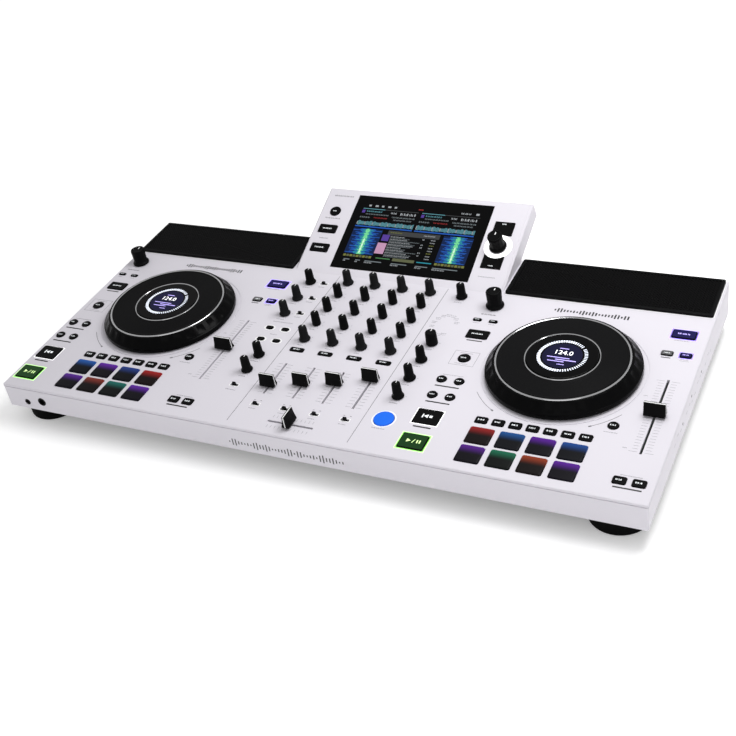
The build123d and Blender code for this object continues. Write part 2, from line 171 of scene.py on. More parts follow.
def dented(nodes, links, height, strength, distance):
    bump = nodes.new("ShaderNodeBump")
    bump.inputs["Strength"].default_value = strength
    bump.inputs["Distance"].default_value = distance
    links.new(height, bump.inputs["Height"])
    return bump.outputs["Normal"]


# moulded plastic, rubber and paint: a slow change between two shades, and a fine spark-eroded grain.
# Each look gives the shades, the roughness, and the grain's scale and depth, and some also the shine
# and how far light bends at the surface.
moulded = {
    "shell": {"shades": ((0.605, 0.585, 0.632), (0.64, 0.618, 0.668)), "roughness": (0.36, 0.48),
              "grain": 1500, "depth": 0.12, "shine": 0.15},
    "blackShell": {"shades": ((0.002, 0.002, 0.0022), (0.004, 0.004, 0.0043)), "roughness": (0.35, 0.5),
                   "grain": 1600, "depth": 0.15, "shine": 0.12, "bend": 1.3},
    "key": {"shades": ((0.002, 0.002, 0.0022), (0.004, 0.004, 0.0043)), "roughness": (0.3, 0.42),
            "grain": 2600, "depth": 0.08, "shine": 0.1, "bend": 1.3},
    "blackKnob": {"shades": ((0.002, 0.002, 0.0022), (0.004, 0.004, 0.0043)), "roughness": (0.38, 0.52),
                  "grain": 3200, "depth": 0.18, "shine": 0.1, "bend": 1.3},
    "greyKnob": {"shades": ((0.007, 0.007, 0.0075), (0.012, 0.012, 0.013)), "roughness": (0.42, 0.58),
                 "grain": 3200, "depth": 0.18, "shine": 0.1, "bend": 1.3},
    "jogTop": {"shades": ((0.003, 0.003, 0.0032), (0.006, 0.006, 0.0065)), "roughness": (0.42, 0.55),
               "grain": 2600, "depth": 0.1, "shine": 0.08, "bend": 1.3},
    "rubber": {"shades": ((0.001, 0.001, 0.0011), (0.003, 0.003, 0.0032)), "roughness": (0.6, 0.8),
               "grain": 1200, "depth": 0.3, "shine": 0.08, "bend": 1.3},
    "jogSide": {"shades": ((0.001, 0.001, 0.0011), (0.003, 0.003, 0.0032)), "roughness": (0.16, 0.26),
                "grain": 900, "depth": 0.04, "shine": 0.09, "bend": 1.3},
    "glass": {"shades": ((0.0008, 0.0008, 0.0009), (0.002, 0.002, 0.0022)), "roughness": (0.05, 0.1),
              "grain": 60, "depth": 0.01, "shine": 0.06},
    "ink": {"shades": ((0.012, 0.012, 0.013), (0.03, 0.03, 0.033)), "roughness": (0.5, 0.6),
            "grain": 4000, "depth": 0.05},
    "greyInk": {"shades": ((0.1, 0.1, 0.11), (0.16, 0.16, 0.17)), "roughness": (0.5, 0.6),
                "grain": 4000, "depth": 0.05},
    "faintInk": {"shades": ((0.17, 0.17, 0.19), (0.25, 0.25, 0.27)), "roughness": (0.5, 0.6),
                 "grain": 4000, "depth": 0.05},
    # white print, and also the painted highlights on the fader caps and along the grille edges
    "whiteInkAndHighlight": {"shades": ((0.8, 0.8, 0.8), (0.9, 0.9, 0.9)), "roughness": (0.4, 0.5),
                 "grain": 4000, "depth": 0.05},
}


cloudScale = 9
grainRise = 0.2 * mm


def mouldedFinish(name, look):
    finish, nodes, links, shader, place = startFinish(name)
    cloud = noiseAt(nodes, links, place, cloudScale)
    grain = noiseAt(nodes, links, place, look["grain"])
    links.new(blended(nodes, links, cloud, *look["shades"]), shader.inputs["Base Color"])
    links.new(spread(nodes, links, grain, *look["roughness"]), shader.inputs["Roughness"])
    links.new(dented(nodes, links, grain, look["depth"], grainRise), shader.inputs["Normal"])
    shader.inputs["Specular IOR Level"].default_value = look.get("shine", 0.5)
    shader.inputs["IOR"].default_value = look.get("bend", 1.5)
    return finish


floorLook = {"shades": ((0.93, 0.93, 0.93), (0.95, 0.95, 0.95)), "roughness": (0.7, 0.8),
             "grain": 300, "depth": 0.02}


def floorFinish():
    # white paper that is lit a little from below, away from the middle, so that it stays white at a distance
    finish = mouldedFinish("floorPaper", floorLook)
    nodes, links = finish.node_tree.nodes, finish.node_tree.links
    shader = nodes["Principled BSDF"]
    shader.inputs["Emission Color"].default_value = (1, 1, 1, 1)
    away = nodes.new("ShaderNodeVectorMath")
    away.operation = "LENGTH"
    links.new(nodes.new("ShaderNodeTexCoord").outputs["Object"], away.inputs[0])
    rise = nodes.new("ShaderNodeMapRange")
    rise.inputs["From Min"].default_value, rise.inputs["From Max"].default_value = studio["glowReach"]
    rise.inputs["To Min"].default_value, rise.inputs["To Max"].default_value = studio["glow"]
    links.new(away.outputs["Value"], rise.inputs["Value"])
    links.new(rise.outputs["Result"], shader.inputs["Emission Strength"])
    return finish


# bare metal, turned or brushed: lines stretched along one axis
brushed = {
    "chrome": {"shades": ((0.5, 0.5, 0.51), (0.68, 0.68, 0.69)), "roughness": (0.08, 0.18),
               "lines": (60, 60, 900)},
    "steel": {"shades": ((0.34, 0.34, 0.35), (0.5, 0.5, 0.51)), "roughness": (0.3, 0.45),
              "lines": (40, 900, 900)},
    "darkSteel": {"shades": ((0.03, 0.03, 0.032), (0.06, 0.06, 0.063)), "roughness": (0.35, 0.5),
                  "lines": (300, 900, 900)},
}


def brushedFinish(name, look):
    finish, nodes, links, shader, place = startFinish(name)
    stretch = nodes.new("ShaderNodeMapping")
    stretch.inputs["Scale"].default_value = look["lines"]
    links.new(place, stretch.inputs["Vector"])
    lines = noiseAt(nodes, links, stretch.outputs["Vector"], 1.0, 4.0)
    links.new(blended(nodes, links, lines, *look["shades"]), shader.inputs["Base Color"])
    links.new(spread(nodes, links, lines, *look["roughness"]), shader.inputs["Roughness"])
    links.new(dented(nodes, links, lines, 0.05, 0.0001), shader.inputs["Normal"])
    shader.inputs["Metallic"].default_value = 1.0
    return finish


# marks lit from behind: the light's colour and strength, and the colour of the surface where it differs
lit = {
    "legend": ((0.75, 0.78, 0.8), 0.4),
    "lime": ((0.6, 0.85, 0.35), 0.7),
    "playKey": ((0.008, 0.06, 0.008), 0.8, (0.002, 0.004, 0.002)),
    "indigoKey": ((0.01, 0.007, 0.16), 0.5, (0.003, 0.002, 0.012)),
    "greyKey": ((0.12, 0.12, 0.125), 0.5, (0.05, 0.05, 0.05)),
    "whiteLight": ((1.0, 1.0, 1.0), 1.0),
    "tickLight": ((0.72, 0.76, 0.85), 0.62),
    "greenLight": ((0.2, 0.75, 0.08), 0.6),
    "paleGreenLight": ((0.62, 0.95, 0.45), 0.55),
    "blueLight": ((0.005, 0.13, 0.9), 0.62, (0.01, 0.08, 0.35)),
    "purpleLight": ((0.12, 0.04, 0.75), 0.6),
    "lavenderLight": ((0.5, 0.42, 0.95), 0.6),
    "redLight": ((0.7, 0.05, 0.05), 0.45, (0.03, 0.005, 0.005)),
    "tealLight": ((0.02, 0.38, 0.5), 0.75, (0.01, 0.02, 0.02)),
    "skyLight": ((0.01, 0.12, 0.58), 0.75, (0.005, 0.01, 0.04)),
    "coreLight": ((0.2, 0.85, 0.36), 0.85, (0.02, 0.05, 0.03)),
    "pinkLight": ((0.7, 0.38, 0.6), 0.75, (0.05, 0.03, 0.04)),
    "violetLight": ((0.12, 0.06, 0.42), 0.7, (0.01, 0.005, 0.03)),
    "oliveLight": ((0.16, 0.18, 0.09), 0.6, (0.02, 0.02, 0.01)),
    "slateLight": ((0.06, 0.065, 0.07), 0.6, (0.01, 0.01, 0.01)),
    "navyLight": ((0.003, 0.004, 0.06), 0.5, (0.001, 0.001, 0.004)),
    "skyDim": ((0.002, 0.02, 0.1), 0.7, (0.001, 0.002, 0.008)),
    "lemonLight": ((0.34, 0.36, 0.07), 0.5, (0.02, 0.02, 0.01)),
    "aquaLight": ((0.14, 0.42, 0.5), 0.7, (0.01, 0.02, 0.02)),
    "paleCore": ((0.7, 1.0, 0.75), 0.95, (0.05, 0.06, 0.05)),
    "greenMark": ((0.1, 0.35, 0.12), 0.6, (0.01, 0.02, 0.01)),
    "screenText": ((0.62, 0.66, 0.7), 0.6, (0.03, 0.03, 0.03)),
    "screenDim": ((0.2, 0.24, 0.26), 0.8, (0.02, 0.02, 0.02)),
}


def litFinish(name, colour, strength, surface=None):
    finish, nodes, links, shader, place = startFinish(name)
    speckle = noiseAt(nodes, links, place, 400)
    dim = tuple(part * 0.82 for part in colour)
    shader.inputs["Base Color"].default_value = (*(surface or colour), 1)
    links.new(blended(nodes, links, speckle, dim, colour), shader.inputs["Emission Color"])
    shader.inputs["Emission Strength"].default_value = strength
    shader.inputs["Roughness"].default_value = 0.4
    shader.inputs["Specular IOR Level"].default_value = 0.12
    return finish


def boardFinish(name):
    finish, nodes, links, shader, place = startFinish(name)
    tracks = nodes.new("ShaderNodeTexVoronoi")
    tracks.inputs["Scale"].default_value = 160
    links.new(place, tracks.inputs["Vector"])
    tint = blended(nodes, links, tracks.outputs["Distance"], (0.01, 0.09, 0.035), (0.02, 0.2, 0.08))
    links.new(tint, shader.inputs["Base Color"])
    shader.inputs["Roughness"].default_value = 0.35
    return finish


padLook = {"shades": ((0.002, 0.002, 0.0022), (0.005, 0.005, 0.0054)), "roughness": (0.4, 0.52),
           "grain": 2200, "depth": 0.12, "shine": 0.08}


def padFinish(name, colour, farEdge, reach):
    # dark silicone, lit from below along its far edge
    finish = mouldedFinish(name, padLook)
    nodes, links = finish.node_tree.nodes, finish.node_tree.links
    shader = nodes["Principled BSDF"]
    split = nodes.new("ShaderNodeSeparateXYZ")
    links.new(nodes.new("ShaderNodeTexCoord").outputs["Object"], split.inputs["Vector"])
    rise = nodes.new("ShaderNodeMapRange")
    rise.interpolation_type = "SMOOTHSTEP"
    rise.inputs["From Min"].default_value = farEdge - reach
    rise.inputs["From Max"].default_value = farEdge
    links.new(split.outputs["Y"], rise.inputs["Value"])
    faint = tuple(part * 0.01 for part in colour)
    links.new(blended(nodes, links, rise.outputs["Result"], faint, colour), shader.inputs["Emission Color"])
    shader.inputs["Emission Strength"].default_value = 0.42
    return finish


finishes = {name: mouldedFinish(name + "Plastic", look) for name, look in moulded.items()}
finishes.update({name: brushedFinish(name + "Metal", look) for name, look in brushed.items()})
finishes.update({name: litFinish(name, *look) for name, look in lit.items()})
finishes["board"] = boardFinish("board")
print("finishes ready:", len(finishes))

nodeFinishes = {
    "shell": ["top_panel", "front_wall", "rear_wall", "side_walls", "display_case"],
    "darkSteel": ["base_plate", "case_screws"],
    "rubber": ["rubber_feet"],
    "blackShell": ["speaker_grilles", "speaker_drivers", "display_module", "slide_switches", "sockets",
                   "mains_socket"],
    "glass": ["display_glass", "jog_displays"],
    "board": ["circuit_boards"],
    "steel": ["control_units", "jog_hubs"],
    "key": ["left_deck_buttons", "right_deck_buttons", "mixer_buttons", "display_buttons", "left_pads",
            "right_pads"],
}


def dressNodes():
    dressed = set()
    for finish, names in nodeFinishes.items():
        for name in names:
            slots = frame["nodes"][name].data.materials
            slots.clear()
            slots.append(finishes[finish])
            dressed.add(name)
    for name, node in frame["nodes"].items():
        if name not in dressed:  # jogs, knobs and caps, which finer pieces stand for
            node.data.materials.clear()
            node.data.materials.append(finishes["blackKnob"])


# modelling moves


def deselect():
    bpy.ops.object.select_all(action="DESELECT")


def pick(piece):
    deselect()
    piece.select_set(True)
    bpy.context.view_layer.objects.active = piece


def newest(name):
    piece = bpy.context.active_object
    piece.name = name
    piece.data.name = name
    return piece


def paint(piece, finish):
    piece.data.materials.append(finishes[finish])
    return piece


def settle(piece, place):
    pick(piece)
    bpy.ops.object.transform_apply(location=True, rotation=True, scale=True)
    piece.matrix_world = place
    bpy.ops.object.transform_apply(location=True, rotation=True, scale=True)
    return piece


def copied(piece, name, place):
    pick(piece)
    bpy.ops.object.duplicate()
    return settle(newest(name), place)


def joined(pieces, name):
    deselect()
    for piece in pieces:
        piece.select_set(True)
    bpy.context.view_layer.objects.active = pieces[0]
    if len(pieces) > 1:
        bpy.ops.object.join()
    return newest(name)


def smooth(piece, angle=32):
    pick(piece)
    bpy.ops.object.shade_smooth_by_angle(angle=math.radians(angle))
    return piece


def bevelled(piece, width, segments=2, angle=40):
    pick(piece)
    edge = piece.modifiers.new("edge", "BEVEL")
    edge.width = width * mm
    edge.segments = segments
    edge.angle_limit = math.radians(angle)
    bpy.ops.object.modifier_apply(modifier=edge.name)
    return piece


def chooseFaces(piece, wanted):
    # leaves edit mode on, with the faces that pass the test selected
    bpy.ops.object.mode_set(mode="OBJECT")
    bpy.context.tool_settings.mesh_select_mode = (False, False, True)
    for vertex in piece.data.vertices:
        vertex.select = False
    for edge in piece.data.edges:
        edge.select = False
    for face in piece.data.polygons:
        face.select = wanted(face)
    bpy.ops.object.mode_set(mode="EDIT")


def turned(name, profile, sides=64, ring=False):
    # a lathe shape: circles pulled up and resized along a profile of (radius, height)
    deselect()
    radius, height = profile[0]
    bpy.ops.mesh.primitive_circle_add(vertices=sides, radius=radius * mm, location=(0, 0, height * mm),
                                      fill_type="NOTHING" if ring else "NGON")
    piece = newest(name)
    bpy.context.tool_settings.mesh_select_mode = (True, False, False)
    bpy.ops.object.mode_set(mode="EDIT")
    bpy.ops.mesh.select_all(action="SELECT")
    stops = profile[1:] + ([profile[0]] if ring else [])
    for nextRadius, nextHeight in stops:
        bpy.ops.mesh.extrude_region_move(TRANSFORM_OT_translate={"value": (0, 0, (nextHeight - height) * mm)})
        grow = nextRadius / radius
        bpy.ops.transform.resize(value=(grow, grow, 1), center_override=(0, 0, nextHeight * mm))
        radius, height = nextRadius, nextHeight
    bpy.ops.mesh.select_all(action="SELECT")
    bpy.ops.mesh.remove_doubles(threshold=0.000002)
    bpy.ops.mesh.normals_make_consistent(inside=False)
    bpy.ops.object.mode_set(mode="OBJECT")
    return piece


def roundedBlock(name, size, corner, edge, foot=0.0):
    # a block with round corners in plan and a softer top edge, standing at foot
    deselect()
    width, depth, height = size
    bpy.ops.mesh.primitive_cube_add(size=1, location=(0, 0, (foot + height / 2) * mm),
                                    scale=(width * mm, depth * mm, height * mm))
    piece = newest(name)
    bpy.ops.object.transform_apply(location=True, rotation=True, scale=True)
    bpy.context.tool_settings.mesh_select_mode = (False, True, False)
    for face in piece.data.polygons:
        face.select = False
    for vertex in piece.data.vertices:
        vertex.select = False
    for side in piece.data.edges:
        low, high = (piece.data.vertices[index].co for index in side.vertices)
        side.select = abs(low.z - high.z) > 0.5 * height * mm
    bpy.ops.object.mode_set(mode="EDIT")
    bpy.ops.mesh.bevel(offset=corner * mm, segments=4)
    chooseFaces(piece, lambda face: face.normal.z > 0.9)
    bpy.ops.mesh.inset(thickness=edge * mm)
    bpy.ops.transform.translate(value=(0, 0, edge * 0.55 * mm))
    bpy.ops.mesh.inset(thickness=edge * 0.8 * mm)
    bpy.ops.transform.translate(value=(0, 0, edge * 0.1 * mm))
    bpy.ops.object.mode_set(mode="OBJECT")
    return piece


def flatMarks(name, finish, place, body, bars=(), discs=(), rings=(), lift=0.05, foot=0.0):
    # printed marks, lit marks and painted highlights: bars are (x, y, width, depth, turn), discs (x, y,
    # radius) and rings (x, y, outer, inner)
    deselect()
    bpy.ops.mesh.primitive_plane_add(size=mm)
    piece = newest(name)
    bpy.context.tool_settings.mesh_select_mode = (False, False, True)
    bpy.ops.object.mode_set(mode="EDIT")
    bpy.ops.mesh.select_all(action="SELECT")
    bpy.ops.mesh.delete(type="VERT")
    for x, y, width, depth, *turn in bars:
        middle = (x * mm, y * mm, 0)
        bpy.ops.mesh.primitive_plane_add(size=mm, location=middle)
        bpy.ops.transform.resize(value=(width, depth, 1), center_override=middle)
        if turn:
            bpy.ops.transform.rotate(value=-turn[0], orient_axis="Z", center_override=middle)
    for x, y, radius in discs:
        bpy.ops.mesh.primitive_circle_add(vertices=20, radius=radius * mm, fill_type="NGON",
                                          location=(x * mm, y * mm, 0))
    for x, y, outer, inner in rings:
        bpy.ops.mesh.primitive_circle_add(vertices=48, radius=outer * mm, fill_type="NGON",
                                          location=(x * mm, y * mm, 0))
        bpy.ops.mesh.inset(thickness=(outer - inner) * mm)
        bpy.ops.mesh.delete(type="FACE")
    bpy.ops.mesh.select_all(action="SELECT")
    bpy.ops.mesh.extrude_region_move(TRANSFORM_OT_translate={"value": (0, 0, lift * mm)})
    bpy.ops.mesh.select_all(action="SELECT")
    bpy.ops.mesh.normals_make_consistent(inside=False)
    bpy.ops.object.mode_set(mode="OBJECT")
    paint(piece, finish)
    settle(piece, place @ Matrix.Translation((0, 0, foot * mm)))
    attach(piece, body)
    return piece


def frameBars(x, y, width, depth, thick):
    # the four bars of a border just outside a key of that size
    across, along = (width + thick) / 2, (depth + thick) / 2
    return [(x, y + along, width + 2 * thick, thick), (x, y - along, width + 2 * thick, thick),
            (x - across, y, thick, depth), (x + across, y, thick, depth)]


def digits(name, words, size, finish, place, body, lift=0.05):
    deselect()
    bpy.ops.object.text_add()
    writing = bpy.context.active_object
    writing.data.body = words
    writing.data.size = size * mm
    writing.data.align_x = "CENTER"
    writing.data.align_y = "CENTER"
    writing.data.extrude = lift / 2 * mm
    writing.data.resolution_u = 3
    bpy.ops.object.convert(target="MESH")
    piece = paint(newest(name), finish)
    pick(piece)
    bpy.ops.object.mode_set(mode="EDIT")
    bpy.ops.mesh.select_all(action="SELECT")
    bpy.ops.mesh.remove_doubles(threshold=0.000001)
    bpy.ops.object.mode_set(mode="OBJECT")
    settle(piece, place)
    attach(piece, body)
    return piece


# jog wheels: a glossy flared rim with finger hollows, a grooved touch plate and two chrome rings

jog = {
    "rim": [(30.3, 1.3), (74.4, 1.3), (75.4, 1.9), (75.7, 3.0), (75.3, 6.6), (74.6, 7.0), (74.1, 7.6),
            (73.4, 8.4),
            (67.6, 15.6), (66.8, 16.1), (63.0, 16.1), (63.0, 14.3), (59.5, 14.3), (59.5, 5.2), (34.0, 5.2),
            (34.0, 13.1), (30.3, 13.1)],
    "outerRing": [(63.2, 16.0), (64.9, 16.0), (65.1, 16.3), (64.9, 16.8), (64.5, 17.1), (63.8, 17.1),
                  (63.2, 16.7)],
    "innerRing": [(35.3, 16.8), (36.6, 16.8), (36.6, 17.3), (36.3, 17.7), (35.7, 17.7), (35.3, 17.4)],
    "plateEdge": (35.4, 62.9), "plateTop": 17.0, "plateFoot": 14.3, "grooves": 17, "grooveDepth": 0.12,
    "sides": 96, "hollows": (8.5, 15.2), "hollowDepth": 0.3, "hollowEdge": 0.9, "flankFrom": 68.0,
}


def plateProfile():
    inner, outer = jog["plateEdge"]
    top = jog["plateTop"]
    profile = [(inner, jog["plateFoot"]), (outer, jog["plateFoot"]), (outer, top - 0.4), (outer - 0.4, top)]
    step = (outer - inner - 5) / jog["grooves"]
    for number in range(jog["grooves"]):
        edge = outer - 2.5 - number * step
        profile += [(edge, top), (edge - 0.25, top - jog["grooveDepth"]),
                    (edge - 0.6, top - jog["grooveDepth"]),
                    (edge - 0.85, top)]
    return profile + [(inner + 0.3, top), (inner, top - 0.3)]


def pressHollows(rim):
    # two panels of every three round the side are set back, for the fingers
    low, high = (height * mm for height in jog["hollows"])
    step = 2 * math.pi / jog["sides"]

    def wanted(face):
        outside = face.center.xy.length > jog["flankFrom"] * mm and low < face.center.z < high
        return outside and round((math.atan2(face.center.y, face.center.x) + math.pi) / step - 0.5) % 3 != 0

    pick(rim)
    chooseFaces(rim, wanted)
    bpy.ops.mesh.inset(thickness=jog["hollowEdge"] * mm, depth=-jog["hollowDepth"] * mm)
    bpy.ops.object.mode_set(mode="OBJECT")


def makeJogs():
    rim = paint(turned("jogRimMaster", jog["rim"], jog["sides"], ring=True), "jogSide")
    pressHollows(rim)
    plate = paint(turned("jogPlateMaster", plateProfile(), jog["sides"], ring=True), "jogTop")
    outerRing = paint(turned("jogOuterRingMaster", jog["outerRing"], jog["sides"], ring=True), "chrome")
    innerRing = paint(turned("jogInnerRingMaster", jog["innerRing"], jog["sides"], ring=True), "chrome")
    masters = {"rim": rim, "plate": plate, "outerRing": outerRing, "innerRing": innerRing}
    for side in ("left", "right"):
        place = Matrix.Translation(jointPlace(side + "_jog_spin")) @ panelTurn
        for part, master in masters.items():
            piece = smooth(copied(master, side + "Jog_" + part, place))
            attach(piece, side + "_jog")
            if part in ("rim", "plate"):
                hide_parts(side + "_jog_" + part)
    for master in masters.values():
        bpy.data.objects.remove(master)


jogScreen = {"lens": 18.1, "navy": 19.4, "ringMiddle": 22.7, "ringLength": 3.2, "ticks": 60}


def makeJogScreens():
    for side in ("left", "right"):
        place = Matrix.Translation(jointPlace(side + "_jog_spin")) @ panelTurn
        ticks = []
        for number in range(jogScreen["ticks"]):
            turn = 2 * math.pi * number / jogScreen["ticks"]
            if number == 8:
                continue
            wide = 1.1 if 3 < number < 29 else 1.75
            middle = (jogScreen["ringMiddle"] * math.sin(turn), jogScreen["ringMiddle"] * math.cos(turn))
            ticks.append((*middle, wide, jogScreen["ringLength"], -turn))
        foot = jogScreen["lens"]
        flatMarks(side + "JogTicks", "tickLight", place, "chassis", bars=ticks, foot=foot)
        flatMarks(side + "JogNavy", "navyLight", place, "chassis", discs=[(0, 0, jogScreen["navy"])],
                  foot=foot)
        lines = [(-1, 11, 9, 1.0), (-3, -3.4, 22, 1.0), (5, -6.4, 20, 1.2), (-4, -9.2, 16, 1.0),
                 (2, -13.4, 7, 0.8)]
        flatMarks(side + "JogLines", "lavenderLight", place, "chassis", bars=lines, foot=foot + 0.05)
        high = place @ Matrix.Translation((0, 4.5 * mm, (foot + 0.08) * mm))
        digits(side + "JogDigits", "124.0", 8.5, "whiteLight", high, "chassis")


dressNodes()
makeCamera()
makeStudio()
print("camera and studio ready")
makeJogs()
makeJogScreens()
print("jog wheels ready")

# knobs: four kinds of turned knob, each with a line cut for its pointer

knobKinds = {
    "plain": {"profile": [(4.7, 0.8), (4.9, 1.3), (4.85, 2.2), (4.45, 14.6), (4.2, 15.5), (3.7, 16.0)],
              "flutes": (3.0, 14.0, 0.93), "pointer": (0.7, 3.4, 16.0, 4.3)},
    "skirted": {"profile": [(6.0, 0.8), (6.3, 1.1), (6.3, 1.9), (6.0, 2.4), (5.3, 3.4), (4.9, 4.6),
                            (4.4, 16.2),
                            (4.15, 17.0), (3.65, 17.5)],
                "flutes": (5.0, 15.8, 0.94), "pointer": (0.7, 3.3, 17.5, 4.1)},
    "selector": {"profile": [(6.0, 0.8), (6.3, 1.2), (6.2, 2.4), (5.8, 14.2), (5.5, 15.0), (4.9, 15.5)],
                 "flutes": (3.0, 14.0, 0.95), "pointer": (0.7, 4.0, 15.5, 5.6)},
    "encoder": {"profile": [(9.4, 0.8), (9.7, 1.2), (9.7, 2.6), (9.2, 3.4), (8.3, 4.3), (7.9, 6.0),
                            (8.3, 17.6),
                            (8.4, 18.8), (8.0, 19.6), (7.3, 20.0), (6.7, 19.9), (6.1, 19.3)],
                "flutes": (5.0, 17.4, 0.96), "pointer": (1.0, 3.4, 19.4, 5.8)},
}


knobSides = 48


def fluteSides(piece, kind):
    # every other pair of verticals is drawn in a little, which leaves grips between them
    low, high, draw = knobKinds[kind]["flutes"]
    bpy.ops.object.mode_set(mode="OBJECT")
    bpy.context.tool_settings.mesh_select_mode = (True, False, False)
    for face in piece.data.polygons:
        face.select = False
    for edge in piece.data.edges:
        edge.select = False
    for vertex in piece.data.vertices:
        turn = (math.atan2(vertex.co.y, vertex.co.x) + math.pi) / (2 * math.pi) * knobSides
        vertex.select = low * mm < vertex.co.z < high * mm + 1.2 * mm and round(turn) % 4 < 2
    bpy.ops.object.mode_set(mode="EDIT")
    bpy.ops.transform.resize(value=(draw, draw, 1), center_override=(0, 0, 0))
    bpy.ops.object.mode_set(mode="OBJECT")


def knobMaster(kind, finish):
    piece = paint(turned("knobMaster", knobKinds[kind]["profile"], knobSides), finish)
    pick(piece)
    fluteSides(piece, kind)
    width, length, top, edge = knobKinds[kind]["pointer"]
    line = roundedBlock("pointerLine", (width, length, 0.5), 0.3, 0.12, foot=top - 0.42)
    paint(line, "whiteInkAndHighlight")
    settle(line, Matrix.Translation((0, (edge - length / 2 - 0.5) * mm, 0)))
    shaft = paint(turned("knobShaft", [(2.4, -11.5), (2.9, -11.0), (2.9, 1.0)], 24), "steel")
    return smooth(joined([piece, line, shaft], kind + "KnobMaster"), 28)


def placeKnob(master, name, place, body, node=None):
    piece = copied(master, name, place)
    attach(piece, body)
    if node:
        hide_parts(node)
    return piece


mixerRows = {"gain": ("skirted", "greyKnob"), "high": ("plain", "blackKnob"), "mid": ("plain", "blackKnob"),
             "low": ("plain", "blackKnob"), "filter": ("skirted", "greyKnob")}
levelKnobs = [(-95.0, 247.5, "skirted", "blackKnob"), (-95.0, 215.0, "skirted", "greyKnob"),
              (-95.0, 185.0, "skirted", "greyKnob"), (-86.5, 110.5, "skirted", "blackKnob"),
              (-86.5, 84.7, "skirted", "blackKnob"), (87.0, 254.0, "skirted", "blackKnob"),
              (87.0, 169.5, "selector", "blackKnob"), (87.0, 141.0, "skirted", "blackKnob"),
              (87.0, 111.0, "skirted", "blackKnob"), (87.0, 82.0, "skirted", "blackKnob")]


def makeKnobs():
    masters = {(kind, finish): knobMaster(kind, finish) for kind, finish in
               (("plain", "blackKnob"), ("skirted", "greyKnob"), ("skirted", "blackKnob"),
                ("selector", "blackKnob"), ("encoder", "blackKnob"))}
    for row, look in mixerRows.items():
        for number in (1, 2, 3, 4):
            node = row + "_knob_" + str(number)
            place = Matrix.Translation(jointPlace(node + "_turn")) @ panelTurn
            placeKnob(masters[look], row + "Knob" + str(number), place, node, node)
    fixed = []
    for number, (x, y, kind, finish) in enumerate(levelKnobs, start=1):
        place = panelPlace @ Matrix.Translation((x * mm, y * mm, 0))
        fixed.append(copied(masters[(kind, finish)], "levelKnob" + str(number), place))
    levels = joined(fixed, "levelKnobs")
    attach(levels, "chassis")
    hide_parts("level_knobs")
    encoderTurns = {"left_encoder": panelTurn, "right_encoder": panelTurn, "display_encoder": faceTurn}
    for node, turn in encoderTurns.items():
        place = Matrix.Translation(jointPlace(node + "_turn")) @ turn
        placeKnob(masters[("encoder", "blackKnob")], node + "Knob", place, node, node)
    for master in masters.values():
        bpy.data.objects.remove(master)


makeKnobs()
print("knobs ready")

# fader caps: steep hollow slopes up to a flat ridge, with a painted highlight along it and down both ends

# line is the width of the painted highlights along the ridge and down the ends
caps = {"channel": (17.0, 8.0, 15.5), "pitch": (20.0, 9.0, 15.0), "foot": 2.0, "lip": 3.6, "ridge": 3.0,
        "hollow": 0.45, "steps": 6, "line": 1.0, "inset": 0.12, "stem": (1.4, 4.6, 11.0), "stemFoot": -8.0}


def capMaster(kind):
    width, depth, height = caps[kind]
    foot, lip = caps["foot"], caps["lip"]
    deselect()
    bpy.ops.mesh.primitive_cube_add(size=1, location=(0, 0, (foot + lip) / 2 * mm),
                                    scale=((width - 2 * caps["inset"]) * mm, depth * mm, (lip - foot) * mm))
    cap = newest("capMaster")
    bpy.ops.object.transform_apply(location=True, rotation=True, scale=True)
    chooseFaces(cap, lambda face: face.normal.z > 0.9)
    previous, rise = depth, (height - lip) / caps["steps"]
    for step in range(1, caps["steps"] + 1):
        share = step / caps["steps"]
        deep = depth + (caps["ridge"] - depth) * share - 2 * caps["hollow"] * math.sin(math.pi * share)
        bpy.ops.mesh.extrude_region_move(TRANSFORM_OT_translate={"value": (0, 0, rise * mm)})
        bpy.ops.transform.resize(value=(1, deep / previous, 1),
                                 center_override=(0, 0, (lip + step * rise) * mm))
        previous = deep
    bpy.ops.object.mode_set(mode="OBJECT")
    bevelled(cap, 0.35)
    paint(cap, "key")
    # a thin white strip along the ridge: a painted highlight on the top edge
    line = roundedBlock("capRidgeHighlight", (width * 0.97, caps["line"], 0.3), 0.1, 0.06, foot=height - 0.25)
    paint(line, "whiteInkAndHighlight")
    parts = [cap, line]
    # thin white strips down both ends: painted highlights on the end chamfers
    for side in (-1, 1):
        endHighlight = roundedBlock("capEndHighlight", (0.3, caps["line"], height - foot - 1.0), 0.1, 0.06, foot=foot + 0.6)
        settle(endHighlight, Matrix.Translation((side * (width / 2 - 0.15) * mm, 0, 0)))
        parts.append(paint(endHighlight, "whiteInkAndHighlight"))
    across, along, drop = caps["stem"]
    stem = roundedBlock("capStem", (across, along, drop), 0.4, 0.2, foot=caps["stemFoot"])
    return smooth(joined(parts + [paint(stem, "steel")], kind + "CapMaster"), 35)


def makeCaps():
    sideways = Matrix.Rotation(math.pi / 2, 4, "Z")
    rests = {"crossfader": sideways}
    for number in (1, 2, 3, 4):
        rests["channel_fader_" + str(number)] = Matrix.Identity(4)
    masters = {"channel": capMaster("channel"), "pitch": capMaster("pitch")}
    for node in list(rests) + ["left_pitch_fader", "right_pitch_fader"]:
        low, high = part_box(node)
        middle = panelPlace.inverted() @ ((low + high) / 2)
        place = panelPlace @ Matrix.Translation((middle.x, middle.y, 0)) @ rests.get(node, Matrix.Identity(4))
        piece = copied(masters["pitch" if "pitch" in node else "channel"], node + "Cap", place)
        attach(piece, node)
        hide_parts(node)
    for master in masters.values():
        bpy.data.objects.remove(master)


makeCaps()
print("fader caps ready")

# pads: dark silicone, one colour of light at the far edge of each

